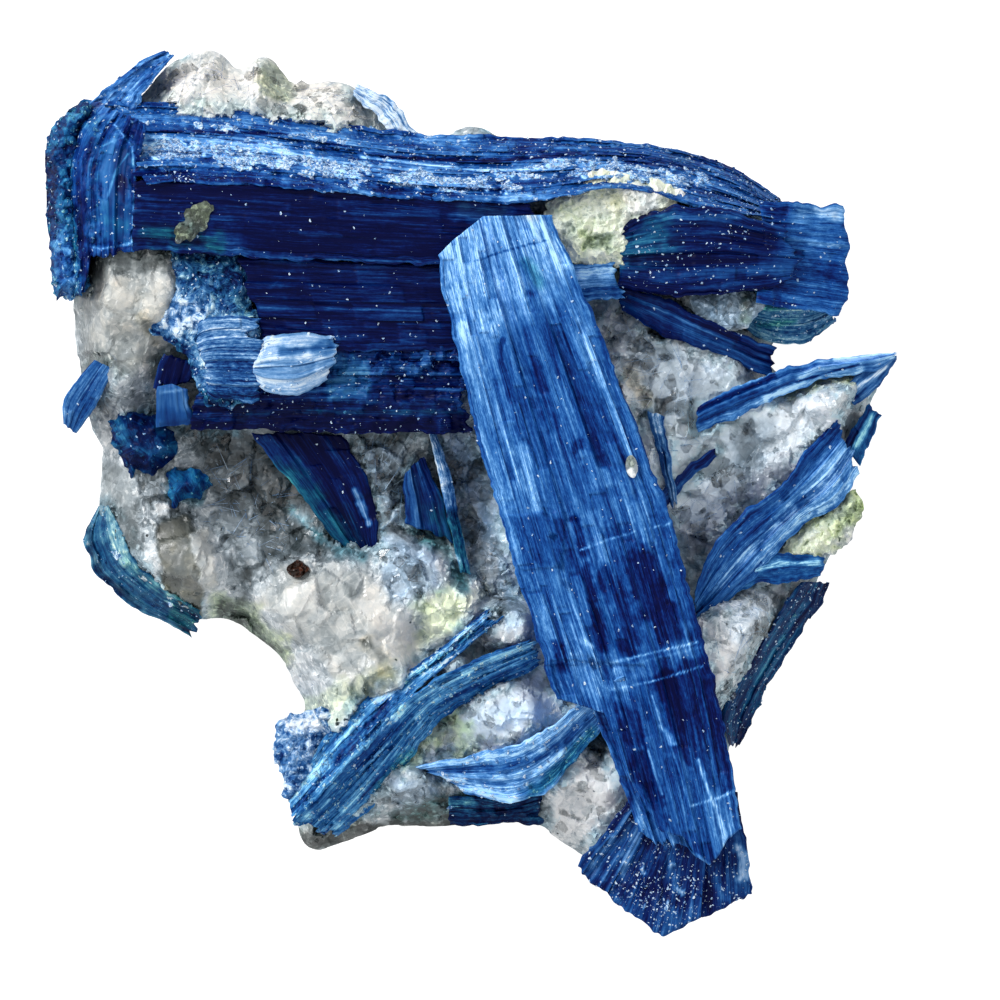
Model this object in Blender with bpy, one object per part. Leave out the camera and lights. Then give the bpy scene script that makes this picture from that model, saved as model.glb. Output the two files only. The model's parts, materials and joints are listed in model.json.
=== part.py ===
"""Kyanite blade cluster: blue kyanite blades grown through a lump of granular quartz.

The specimen lies on its flat back, with its best face up. Every outline is drawn in plan on a
sheet that covers the specimen: x runs to the right and y runs down the sheet, in millimetres.
Heights are millimetres above the surface that the specimen rests on.
"""

import math
import random

import bmesh
import bpy
from mathutils import Vector
from mathutils.geometry import delaunay_2d_cdt

MM = 0.001
SHEET_CENTRE = (47.1, 49.2)  # the point of the sheet that lies over the origin
CLEARANCE = 0.3  # gap below a piece that sits in a pocket
SIDE_GAP = 0.345  # gap around its upper edge
FOOT_GAP = 0.6  # gap around its underside
RISER_RUN = 0.12  # how far the small riser between two laths runs sideways
HEADROOM = 30.0  # how far the pocket reaches above the piece's underside
UNDERCUT = 0.2  # how far a blade's sides lean in towards its underside, per millimetre of depth
MOST_UNDERCUT = 0.3  # the most that they lean in, as a share of the blade's width or length

# ---------------------------------------------------------------- the quartz matrix
GRAIN = 2.6  # spacing of the quartz's faceted grains
BACK_GRAIN = 7.0  # spacing of the facets under the specimen
GRAIN_RELIEF = 1.6  # height difference between neighbouring grains
GRAIN_JITTER = 0.3  # how far a grain strays from an even grid, as a share of the spacing
EDGE_MARGIN = 0.55  # how near a grain may come to the outline, as a share of the spacing
FIELD_HEIGHT = 20.0  # usual height of the quartz between the blades
RIM_HEIGHT = 13.5  # height of the quartz where it meets its outline
RIM_RUN = 4.0  # how far inside the outline the quartz has its full height
RIM_STEP = 0.25  # the share of that rise that it makes at once, at the outline
FORM_SLOPE = 0.6  # the outer share of a form's radius over which it fades into the rest
BACK_LIFT = 6.5  # height of the outline's lower edge above the flat back
BACK_RUN = 8.0  # how far inside the outline the flat back begins

MATRIX_OUTLINE = [
    (10.8, 10.6), (13.4, 9.6), (16.2, 6.2), (18.2, 5.0), (20.0, 4.0), (22.2, 5.0), (23.6, 6.8),
    (24.6, 6.2), (25.6, 4.9), (27.0, 5.2), (28.6, 7.5), (30.0, 8.0), (33.0, 7.5), (35.4, 8.2),
    (38.0, 11.4), (40.0, 13.4), (44.6, 13.3), (46.2, 12.1), (48.4, 12.4), (51.0, 14.0),
    (60.0, 15.2), (68.0, 16.2), (74.0, 19.0), (79.0, 22.0), (82.0, 24.0), (82.6, 27.0),
    (81.6, 31.2), (79.4, 32.6), (77.4, 34.4), (77.2, 36.8), (79.2, 38.0), (84.0, 37.6),
    (86.6, 38.6), (87.4, 40.4), (86.6, 43.0), (85.4, 46.0), (84.8, 49.4), (85.6, 51.6),
    (84.0, 54.4), (82.4, 57.6), (81.4, 60.2), (79.0, 63.4), (76.4, 67.6), (74.4, 71.8),
    (73.0, 75.0), (73.2, 79.0), (73.8, 83.0), (73.4, 87.0), (70.0, 89.6), (66.8, 91.6),
    (63.6, 89.8), (60.4, 87.2), (57.4, 85.4), (54.4, 83.2), (51.6, 81.8), (49.2, 81.8),
    (46.2, 83.0), (38.4, 83.0), (35.0, 84.4), (31.6, 85.6), (29.8, 84.6), (29.2, 80.6),
    (28.4, 76.6), (29.0, 73.0), (30.6, 70.8), (29.4, 69.2), (28.0, 66.0), (26.0, 64.2),
    (24.0, 62.8), (22.4, 61.9), (20.4, 62.2), (18.6, 62.0), (15.0, 60.0), (11.8, 57.6),
    (9.8, 54.6), (9.4, 51.0), (9.8, 44.2), (8.8, 43.4), (8.0, 40.0), (7.4, 36.0), (6.9, 32.8),
    (6.8, 30.0), (7.6, 27.0), (6.8, 22.0), (6.4, 16.0), (8.0, 12.4),
]  # fmt: skip

# Soft rises and hollows of the quartz: name, centre x, centre y, radius, height at the centre.
QUARTZ_FORMS = [
    ("back lump", 19.5, 9.0, 7.5, 20.5),
    ("back shoulder", 27.0, 9.5, 5.5, 19.5),
    ("back shelf", 34.0, 12.0, 6.0, 19.0),
    ("seat of the upper blades", 40.0, 22.0, 30.0, 21.0),
    ("left lump", 12.5, 30.0, 7.5, 25.5),
    ("left brow", 11.5, 36.0, 5.0, 23.5),
    ("left terrace", 12.5, 51.0, 6.0, 20.5),
    ("tan block", 17.5, 56.5, 5.0, 21.5),
    ("white bar", 20.2, 56.5, 2.6, 22.5),
    ("hollow beside the bar", 25.0, 48.0, 9.0, 17.0),
    ("hollow by the great blade", 46.0, 50.0, 7.0, 17.5),
    ("white lump", 33.0, 62.5, 9.5, 23.5),
    ("white lump's shoulder", 40.5, 58.5, 6.0, 23.0),
    ("right field", 68.0, 42.0, 15.0, 24.5),
    ("right field by the great blade", 64.0, 40.0, 7.0, 26.0),
    ("right slope", 80.0, 42.0, 7.0, 21.5),
    ("lower right field", 74.0, 66.0, 7.0, 21.0),
    ("quartz between the lower blades", 50.5, 71.5, 5.5, 22.5),
    ("quartz knob", 41.5, 79.0, 3.2, 21.5),
    ("lower knobs", 59.5, 77.0, 6.0, 22.5),
    ("lowest knob", 57.5, 82.0, 4.0, 20.0),
]  # fmt: skip


# ---------------------------------------------------------------- plan geometry
def plan(x, y):
    """A point of the sheet, in millimetres from the origin."""
    return x - SHEET_CENTRE[0], SHEET_CENTRE[1] - y


def smooth_step(t):
    t = min(max(t, 0.0), 1.0)
    return t * t * (3.0 - 2.0 * t)


def mix(a, b, share):
    """The tuple that lies at a share of the way from a to b. A share may run past either end."""
    return tuple(p + (q - p) * share for p, q in zip(a, b))


def on_line(points, t):
    """The tuple at share t along a list of evenly spaced tuples."""
    place = t * (len(points) - 1)
    first = min(max(int(place), 0), len(points) - 2)
    return mix(points[first], points[first + 1], place - first)


def evenly(points, count):
    """count points at equal distances along a line of points."""
    runs = [math.dist(a, b) for a, b in zip(points, points[1:])]
    found = []
    for n in range(count):
        left = sum(runs) * n / (count - 1)
        spot = 0
        while spot < len(runs) - 1 and left > runs[spot]:
            left -= runs[spot]
            spot += 1
        found.append(mix(points[spot], points[spot + 1], left / runs[spot]))
    return found


def value_at(pairs, share):
    """Linear interpolation in (share, value) pairs."""
    for (a, first), (b, second) in zip(pairs, pairs[1:]):
        if share <= b:
            return first + (second - first) * (share - a) / (b - a)
    return pairs[-1][1]


def closed_pairs(outline):
    return list(zip(outline, outline[1:] + outline[:1]))


def is_inside(spot, outline):
    x, y = spot
    inside = False
    for (ax, ay), (bx, by) in closed_pairs(outline):
        if (ay > y) != (by > y) and x < (bx - ax) * (y - ay) / (by - ay) + ax:
            inside = not inside
    return inside


def edge_distance(spot, outline):
    """Distance from a point to a closed outline."""
    here = Vector(spot)
    nearest = math.inf
    for a, b in closed_pairs(outline):
        start, run = Vector(a), Vector(b) - Vector(a)
        share = min(max((here - start).dot(run) / run.length_squared, 0.0), 1.0)
        nearest = min(nearest, (here - start - run * share).length)
    return nearest


def grains_in(edge, spacing, draw):
    """Points strewn evenly inside an outline, then triangles over the outline and the points."""
    points = [Vector(p) for p in edge]
    low = [min(v) for v in zip(*edge)]
    high = [max(v) for v in zip(*edge)]
    rows = int((high[1] - low[1]) / (spacing * math.sqrt(0.75))) + 1
    columns = int((high[0] - low[0]) / spacing) + 1
    for row in range(rows):
        for column in range(columns):
            stray = [draw.uniform(-GRAIN_JITTER, GRAIN_JITTER) for _ in "xy"]
            x = low[0] + (column + 0.5 * (row % 2) + stray[0]) * spacing
            y = low[1] + (row * math.sqrt(0.75) + stray[1]) * spacing
            if is_inside((x, y), edge) and edge_distance((x, y), edge) > EDGE_MARGIN * spacing:
                points.append(Vector((x, y)))
    ring = [(n, (n + 1) % len(edge)) for n in range(len(edge))]
    found, _, triangles, *_ = delaunay_2d_cdt(points, ring, [], 1, 1e-6)
    return [tuple(p) for p in found], [tuple(t) for t in triangles]


# ---------------------------------------------------------------- solids
def finish(name, colour, roughness):
    material = bpy.data.materials.new(name)
    material.use_nodes = True
    shader = material.node_tree.nodes["Principled BSDF"]
    shader.inputs["Base Color"].default_value = (*colour, 1.0)
    shader.inputs["Roughness"].default_value = roughness
    shader.inputs["Metallic"].default_value = 0.0
    material.diffuse_color = (*colour, 1.0)
    return material


def object_from(name, points, faces, material=None):
    """A closed mesh object from points in millimetres. With no material it is a hidden cutter."""
    mesh = bpy.data.meshes.new(name)
    mesh.from_pydata([Vector(p) * MM for p in points], [], faces)
    shape = bmesh.new()
    shape.from_mesh(mesh)
    bmesh.ops.recalc_face_normals(shape, faces=shape.faces)
    shape.to_mesh(mesh)
    shape.free()
    made = bpy.data.objects.new(name, mesh)
    bpy.context.scene.collection.objects.link(made)
    if material:
        mesh.materials.append(material)
    else:
        made.hide_render = True
        made.display_type = "WIRE"
    return made


def lath_columns(name, laths, step, ragged, riser, marks):
    """Corners across a blade's top: (share across, level, short at the start, short at the end).

    A blade is a stack of parallel cleavage laths, each at its own level and broken off at its
    own length. step is the most that a level differs, and ragged the most that a lath is short.
    A lath also has a corner at each mark inside it, where the blade's end changes its course.
    """
    draw = random.Random(name)
    widths = [draw.uniform(0.6, 1.4) for _ in range(laths)]
    columns = []
    for k in range(laths):
        first, last = sum(widths[:k]) / sum(widths), sum(widths[: k + 1]) / sum(widths)
        first += riser if k else 0.0
        last -= riser if k < laths - 1 else 0.0
        inside = [mark for mark in marks if first + riser < mark < last - riser]
        level = -draw.random() * step
        short_start, short_end = draw.random() * ragged, draw.random() * ragged
        columns += [(across, level, short_start, short_end) for across in (first, *inside, last)]
    return columns


def solid_from_rows(name, rows, material, kept):
    """Closes rows of (top point, bottom point) into one solid, with bottom points only at kept."""
    wide = len(rows[0])
    below = [sum(k < j for k in kept) for j in range(wide)]
    points, tops, lows = [], [], []
    for row in rows:
        tops.append(range(len(points), len(points) + wide))
        points += [high for high, _ in row]
        lows.append(range(len(points), len(points) + len(kept)))
        points += [row[j][1] for j in kept]
    faces = []
    for a, b, c, d in zip(tops, tops[1:], lows, lows[1:]):
        faces += [(a[j], a[j + 1], b[j + 1], b[j]) for j in range(wide - 1)]
        faces += [(c[k], d[k], d[k + 1], c[k + 1]) for k in range(len(kept) - 1)]
        faces += [(a[0], b[0], d[0], c[0]), (a[-1], c[-1], d[-1], b[-1])]
    for high, low in ((tops[0], lows[0]), (tops[-1], lows[-1])):
        for j in range(wide - 1):
            k, after = below[j], below[j + 1]
            faces.append((high[j], low[k], high[j + 1]))
            if k != after:
                faces.append((low[k], low[after], high[j + 1]))
    return object_from(name, points, faces, material)


WHOLE_START = ((0.0, 0.0), (1.0, 0.0))
WHOLE_END = ((0.0, 1.0), (1.0, 1.0))
EVEN_SLOPE = ((0.0, 0.0), (1.0, 1.0))


def blade(name, material, sides, top, floor, laths=4, step=0.6, ragged=0.0, stations=4,
          start=WHOLE_START, end=WHOLE_END, profile=EVEN_SLOPE):  # fmt: skip
    """A kyanite blade between two sides drawn in plan, and the cutter for its pocket.

    top lists (height at the first side, height at the second) along the blade, and floor is the
    height of its underside. start and end say where the blade begins and stops, across it, and
    profile how its height goes from the first side to the second.
    """
    left, right = (evenly(side, stations) for side in sides)
    length = math.dist(left[0], left[-1])
    width = sum(map(math.dist, left, right)) / stations
    riser = min(RISER_RUN / width, 0.1 / laths)

    def corner(t, across, level=0.0):
        """The blade's top at a share along it and across it, and the underside below that."""
        near, far = on_line(top, t)
        height = near + (far - near) * value_at(profile, across)
        lean = UNDERCUT * (height - floor)
        low_t = t + (1.0 - 2.0 * t) * min(lean / length, MOST_UNDERCUT)
        low_across = across + (1.0 - 2.0 * across) * min(lean / width, MOST_UNDERCUT)
        high = plan(*mix(on_line(left, t), on_line(right, t), across))
        low = plan(*mix(on_line(left, low_t), on_line(right, low_t), low_across))
        return (*high, height + level), (*low, floor)

    marks = sorted({share for share, _ in start[1:-1] + end[1:-1] + profile[1:-1]})
    columns = lath_columns(name, laths, step, ragged / length, riser, marks)
    rows = []
    for n in range(stations):
        row = []
        for across, level, short_start, short_end in columns:
            first = value_at(start, across) + short_start
            last = value_at(end, across) - short_end
            row.append(corner(first + (last - first) * n / (stations - 1), across, level))
        rows.append(row)
    shares = [column[0] for column in columns] + [math.inf]
    # Both top corners of a riser share one bottom point, below the second of them.
    kept = [j for j in range(len(columns)) if shares[j + 1] - shares[j] > 2.01 * riser]
    made = solid_from_rows(name, rows, material, kept)

    edge = [(t, 0.0) for t in between(stations, start[0][1], end[0][1])]
    edge += [(value_at(end, mark), mark) for mark in marks]
    edge += [(t, 1.0) for t in reversed(between(stations, start[-1][1], end[-1][1]))]
    edge += [(value_at(start, mark), mark) for mark in reversed(marks)]
    high, low = zip(*(corner(*place) for place in edge))
    return made, pocket_cutter(name, list(high), list(low))


def between(stations, first, last):
    """first, last and the shares of the stations between them."""
    shares = [n / (stations - 1) for n in range(stations)]
    return [first, *(t for t in shares if first < t < last), last]


def grow(outline, distance):
    """A closed outline of (x, y, z) points, moved outwards by a distance at its own heights."""
    turn = sum(a[0] * b[1] - b[0] * a[1] for a, b in closed_pairs(outline))
    grown = []
    for before, here, after in zip(outline[-1:] + outline, outline, outline[1:] + outline[:1]):
        back = (Vector(here) - Vector(before)).xy.normalized()
        ahead = (Vector(after) - Vector(here)).xy.normalized()
        out = Vector((back.y + ahead.y, -back.x - ahead.x)) * math.copysign(1.0, turn)
        out *= distance / max(out.length_squared / 2.0, 0.5)
        grown.append((here[0] + out.x, here[1] + out.y, here[2]))
    return grown


def pocket_cutter(name, high, low):
    """The cutter for the pocket that a piece sits in, from the piece's upper and lower outlines."""
    high, low = grow(high, SIDE_GAP), grow(low, FOOT_GAP)
    rings = [
        [(x, y, z - CLEARANCE) for x, y, z in low],
        high,
        [(x, y, low[0][2] + HEADROOM) for x, y, _ in high],
    ]
    many = len(high)
    faces = [tuple(range(many)), tuple(range(2 * many, 3 * many))]
    for first in (0, many):
        for n in range(many):
            after = first + (n + 1) % many
            faces.append((first + n, after, after + many))
            faces.append((first + n, after + many, first + n + many))
    return object_from(name + "_pocket", sum(rings, []), faces)


def evenly_round(outline, spacing):
    """Points about a spacing apart around a closed outline."""
    length = sum(math.dist(a, b) for a, b in closed_pairs(outline))
    return evenly(outline + outline[:1], round(length / spacing) + 1)[:-1]


def rock(name, material, edge, spacing, top_of, bottom_of, back_spacing, bands=1):
    """A faceted lump over an evenly spaced outline. top_of and bottom_of give its heights."""
    draw = random.Random(name)
    rim = len(edge)
    points, faces, rings = [], [], []
    for gap, height_of in ((spacing, top_of), (back_spacing, bottom_of)):
        spots, triangles = grains_in(edge, gap, draw)
        first = len(points)
        rings.append(range(first, first + rim))
        points += [(*plan(*spot), height_of(spot, edge_distance(spot, edge), draw)) for spot in spots]
        faces += [tuple(first + n for n in triangle) for triangle in triangles]
    upper = rings[0]
    for band in range(1, bands + 1):
        lower = rings[1]
        if band < bands:
            lower = range(len(points), len(points) + rim)
            for n in range(rim):
                share = band / bands + draw.uniform(-0.12, 0.12)
                points.append(mix(points[rings[0][n]], points[rings[1][n]], share))
        for n in range(rim):
            after = (n + 1) % rim
            faces.append((upper[n], lower[n], lower[after]))
            faces.append((upper[n], lower[after], upper[after]))
        upper = lower
    return object_from(name, points, faces, material)


def lump(name, material, outline, height, floor, spacing=1.8, relief=0.8, dome=1.5):
    """A small crusty lump with a flat floor, and the cutter for its pocket."""

    def top_of(spot, depth, draw):
        return height + dome * (smooth_step(depth / 3.0) - 1.0) + draw.uniform(-0.5, 0.5) * relief

    edge = evenly_round(outline, spacing)
    made = rock(name, material, edge, spacing, top_of, lambda *_: floor, 2 * spacing)
    high = [(*plan(*p), height) for p in edge]
    low = [(*plan(*p), floor) for p in edge]
    return made, pocket_cutter(name, high, low)


def matrix_top(spot, depth, draw):
    height = FIELD_HEIGHT
    for _, cx, cy, radius, level in QUARTZ_FORMS:
        away = math.dist(spot, (cx, cy)) / radius
        height += (level - height) * smooth_step((1.0 - away) / FORM_SLOPE)
    height = RIM_HEIGHT + (height - RIM_HEIGHT) * smooth_step(mix((RIM_STEP,), (1.0,), depth / RIM_RUN)[0])
    return height + draw.uniform(-0.5, 0.5) * GRAIN_RELIEF


def matrix_back(_spot, depth, _draw):
    return BACK_LIFT * max(1.0 - depth / BACK_RUN, 0.0)


# ---------------------------------------------------------------- fitting the pieces together
def bounds(thing):
    corners = [vertex.co for vertex in thing.data.vertices]
    return [min(v) for v in zip(*corners)], [max(v) for v in zip(*corners)]


def may_touch(one, other):
    (low, high), (other_low, other_high) = bounds(one), bounds(other)
    return all(a < d and c < b for a, b, c, d in zip(low, high, other_low, other_high))


def cut(target, cutters):
    """Cuts pockets in a solid, and keeps only its largest piece."""
    cutters = [cutter for cutter in cutters if may_touch(target, cutter)]
    for cutter in cutters:
        boolean = target.modifiers.new(cutter.name, "BOOLEAN")
        boolean.operation = "DIFFERENCE"
        boolean.solver = "EXACT"
        boolean.object = cutter
    graph = bpy.context.evaluated_depsgraph_get()
    mesh = bpy.data.meshes.new_from_object(target.evaluated_get(graph))
    target.modifiers.clear()
    target.data = mesh
    shape = bmesh.new()
    shape.from_mesh(mesh)
    for island in islands_of(shape)[1:]:
        bmesh.ops.delete(shape, geom=list(island), context="VERTS")
    shape.to_mesh(mesh)
    shape.free()


def islands_of(shape):
    """Sets of connected vertices, the largest set first."""
    left = set(shape.verts)
    found = []
    while left:
        front = [left.pop()]
        island = set(front)
        while front:
            for edge in front.pop().link_edges:
                for vertex in edge.verts:
                    if vertex in left:
                        left.discard(vertex)
                        island.add(vertex)
                        front.append(vertex)
        found.append(island)
    return sorted(found, key=len, reverse=True)


# ---------------------------------------------------------------- the specimen
def great_blade(royal):
    """The blade that crosses the face from the top to the lower right."""
    yield blade("great_blade", royal,
        ([(43.4, 21.6), (44.6, 30.0), (46.8, 39.0), (49.6, 50.0), (52.6, 60.0), (55.6, 69.0),
          (61.6, 87.0)],
         [(54.9, 21.4), (58.0, 29.0), (62.0, 39.0), (66.3, 50.4), (69.0, 60.0), (71.4, 68.5),
          (74.4, 86.0)]),
        top=[(33.2, 33.4), (32.0, 32.2), (30.6, 31.0), (29.6, 30.0)], floor=17.0,
        laths=8, step=0.7, stations=9,
        start=((0.0, 0.062), (0.12, 0.042), (0.42, 0.006), (1.0, 0.006)),
        end=((0.0, 0.73), (0.26, 0.76), (0.3, 0.86), (0.45, 0.94), (0.72, 0.97), (0.86, 0.99),
             (1.0, 0.93)))  # fmt: skip


def upper_bundle(deep, royal, pale):
    """The sheaf of parallel blades along the top, and the sheaf that crosses its left end."""
    yield blade("upper_blade", deep,
        ([(13.7, 18.2), (32.0, 18.8), (53.0, 20.6)], [(13.6, 24.8), (32.0, 26.0), (53.0, 26.4)]),
        top=[(30.2, 29.6), (30.0, 29.4)], floor=19.0, laths=4, step=0.35)  # fmt: skip
    yield blade("layered_ridge", royal,
        ([(9.6, 10.0), (20.0, 10.6), (32.0, 12.2), (44.0, 13.7), (56.0, 13.5), (68.0, 14.6),
          (74.5, 17.0), (79.2, 20.6)],
         [(13.6, 18.2), (22.0, 18.2), (32.0, 18.8), (44.0, 19.9), (54.0, 20.2), (62.0, 18.2),
          (70.0, 20.6), (77.6, 21.8)]),
        top=[(21.0, 30.6), (21.0, 30.6), (20.5, 30.2), (18.0, 27.0)], floor=14.0,
        laths=9, step=1.1, ragged=1.2, stations=8)  # fmt: skip
    yield blade("second_blade", deep,
        ([(23.6, 26.0), (34.0, 26.2), (46.5, 26.6)], [(26.4, 34.4), (34.0, 34.8), (47.0, 34.8)]),
        top=[(28.8, 27.6), (28.6, 27.4)], floor=18.0,
        laths=4, step=0.5, ragged=0.6)  # fmt: skip
    yield blade("pale_lath", pale,
        ([(26.0, 34.8), (29.0, 33.4), (33.0, 33.6)], [(25.6, 38.8), (30.0, 39.6), (33.8, 37.6)]),
        top=[(28.2, 28.6), (28.4, 28.8), (28.0, 28.2)], floor=22.5,
        laths=3, step=0.6, stations=4)  # fmt: skip
    yield blade("front_bar", deep,
        ([(19.6, 36.6), (27.0, 35.0), (34.0, 34.8), (46.4, 34.8)],
         [(16.4, 42.6), (24.0, 42.8), (34.0, 43.0), (47.4, 43.2)]),
        top=[(26.6, 24.4), (27.2, 25.0), (27.4, 25.4)], floor=16.5,
        laths=4, step=0.6, ragged=0.5, profile=((0.0, 0.0), (0.6, 0.1), (1.0, 1.0)))  # fmt: skip
    yield blade("crumbly_blade", pale,
        ([(18.0, 25.2), (16.2, 29.0), (14.8, 32.0), (17.6, 35.4), (20.6, 39.8)],
         [(24.4, 25.8), (24.6, 29.0), (26.4, 32.0), (26.0, 35.6), (26.0, 40.0)]),
        top=[(27.0, 28.0), (26.6, 27.8), (26.2, 27.4)], floor=18.0,
        laths=4, step=1.0, ragged=0.8)  # fmt: skip
    yield blade("cross_sheaf", royal,
        ([(8.6, 9.6), (5.4, 12.0), (4.0, 15.8), (5.0, 20.0), (5.3, 25.0), (5.5, 30.2)],
         [(14.4, 12.4), (13.8, 15.0), (13.5, 18.0), (13.4, 21.0), (13.2, 24.6), (12.9, 30.0)]),
        top=[(19.0, 28.4), (18.5, 29.6), (18.0, 29.4)], floor=11.0,
        laths=7, step=0.8, ragged=0.3, stations=6, profile=((0.0, 0.0), (0.42, 0.85), (1.0, 1.0)),
        end=((0.0, 0.97), (0.18, 1.0), (0.38, 0.94), (0.5, 0.77), (1.0, 0.74)))  # fmt: skip
    yield blade("back_left_blade", royal,
        ([(10.7, 9.4), (13.4, 6.4), (16.6, 4.7)], [(13.4, 9.9), (15.2, 7.6), (17.2, 5.3)]),
        top=[(19.8, 21.2), (19.0, 20.4)], floor=13.0,
        laths=2, step=0.5, stations=3)  # fmt: skip
    yield blade("back_right_blade", pale,
        ([(35.6, 8.3), (38.6, 9.5), (41.6, 13.2)], [(35.4, 9.3), (37.6, 11.0), (39.6, 13.6)]),
        top=[(18.2, 19.0), (18.4, 19.4)], floor=13.5,
        laths=2, step=0.3, stations=3)  # fmt: skip


def right_bundle(deep, royal, teal):
    """The same sheaf on the other side of the great blade, and the blades that lean on it."""
    yield blade("slant_blade", deep,
        ([(61.6, 28.6), (66.0, 29.8), (71.0, 32.4), (77.8, 35.0)],
         [(62.0, 30.7), (66.0, 33.2), (71.0, 34.9), (77.2, 37.4)]),
        top=[(26.2, 25.6), (26.4, 25.4), (24.0, 23.0)], floor=16.0,
        laths=3, step=0.4, ragged=0.4)  # fmt: skip
    yield blade("neck_blade", royal,
        ([(55.0, 26.8), (61.2, 26.4)], [(56.0, 30.2), (61.6, 29.8)]),
        top=[(27.6, 27.0), (27.6, 27.0)], floor=19.0,
        laths=3, step=0.4, stations=2)  # fmt: skip
    yield blade("right_dark_blade", deep,
        ([(61.9, 22.8), (66.0, 20.9), (72.0, 20.9), (77.4, 22.6)],
         [(61.4, 28.2), (66.0, 29.4), (71.0, 29.3), (78.0, 28.4)]),
        top=[(28.0, 27.6), (28.8, 28.0), (28.2, 27.4)], floor=17.0,
        laths=5, step=0.5, ragged=0.5)  # fmt: skip
    yield blade("right_pale_blade", royal,
        ([(77.8, 20.4), (85.0, 20.8)], [(78.4, 31.8), (84.6, 31.2)]),
        top=[(27.0, 27.2), (25.0, 25.0)], floor=12.5, laths=7, step=0.7, stations=3,
        end=((0.0, 0.86), (0.25, 0.98), (0.4, 1.0), (0.52, 0.93), (0.6, 0.99), (0.92, 0.99),
             (1.0, 0.9)))  # fmt: skip
    yield blade("right_shelf", teal,
        ([(69.5, 29.0), (77.0, 28.0), (84.2, 28.0)], [(70.8, 31.8), (77.6, 34.2), (83.4, 32.2)]),
        top=[(25.4, 24.2), (25.6, 22.6), (24.6, 21.4)], floor=12.5,
        laths=5, step=0.7, ragged=0.5)  # fmt: skip


def right_blades(deep, royal, pale):
    """The blades that stand out of the quartz on the right."""
    yield blade("needle_blade", royal,
        ([(69.3, 41.0), (77.0, 37.4), (81.0, 36.4), (90.0, 35.2)],
         [(69.6, 43.0), (78.4, 40.4), (81.0, 38.6), (89.9, 35.6)]),
        top=[(26.6, 25.8), (26.2, 25.0), (23.5, 22.5)], floor=18.0,
        laths=3, step=0.7, ragged=0.6, stations=5)  # fmt: skip
    yield blade("spear_blade", deep,
        ([(84.4, 39.2), (86.6, 37.4), (89.2, 36.3)], [(85.6, 40.2), (87.6, 38.7), (89.5, 36.8)]),
        top=[(22.2, 21.6), (21.6, 21.0)], floor=15.0,
        laths=2, step=0.4, stations=3)  # fmt: skip
    yield blade("broad_blade", royal,
        ([(69.3, 60.0), (70.4, 56.4), (73.2, 52.2), (78.0, 49.0), (80.4, 45.8), (83.8, 42.2)],
         [(69.6, 62.3), (72.4, 60.6), (76.6, 56.4), (80.0, 52.4), (84.2, 50.2), (86.2, 46.8)]),
        top=[(27.0, 24.6), (26.8, 24.0), (25.6, 23.0), (23.6, 22.4)], floor=15.0,
        laths=6, step=0.7, ragged=0.8, stations=6)  # fmt: skip
    yield blade("edge_splinter", royal,
        ([(84.9, 44.6), (85.8, 42.6), (87.3, 40.4)], [(86.0, 46.2), (86.9, 44.2), (88.2, 41.6)]),
        top=[(21.0, 20.2), (20.4, 19.8)], floor=13.0,
        laths=1, step=0.0, stations=3)  # fmt: skip
    yield blade("wedge_blade", royal,
        ([(74.5, 56.5), (78.4, 55.4), (82.4, 55.6)], [(75.2, 57.6), (78.4, 58.1), (82.6, 57.5)]),
        top=[(23.6, 23.0), (22.2, 21.6)], floor=14.0,
        laths=2, step=0.4, stations=3)  # fmt: skip
    yield blade("rim_blade", deep,
        ([(80.6, 58.2), (78.2, 61.6), (75.6, 65.8), (73.4, 69.4), (72.4, 72.0), (73.0, 74.4)],
         [(82.9, 58.4), (82.2, 60.8), (79.4, 64.0), (77.4, 67.8), (75.4, 71.6), (73.9, 74.9)]),
        top=[(21.0, 16.4), (21.4, 16.4), (21.0, 16.6)], floor=9.5,
        laths=3, step=0.6, ragged=0.3, stations=6)  # fmt: skip
    yield blade("small_needle", deep,
        ([(65.8, 49.9), (71.4, 44.5)], [(66.3, 50.6), (71.9, 45.1)]),
        top=[(26.2, 26.0), (24.8, 24.6)], floor=20.0,
        laths=1, step=0.0, stations=2)  # fmt: skip
    yield blade("side_splinter", pale,
        ([(64.7, 41.0), (67.0, 50.0)], [(66.3, 41.6), (67.6, 50.2)]),
        top=[(27.4, 27.0), (26.2, 26.0)], floor=20.0,
        laths=2, step=0.4, stations=2)  # fmt: skip


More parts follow.
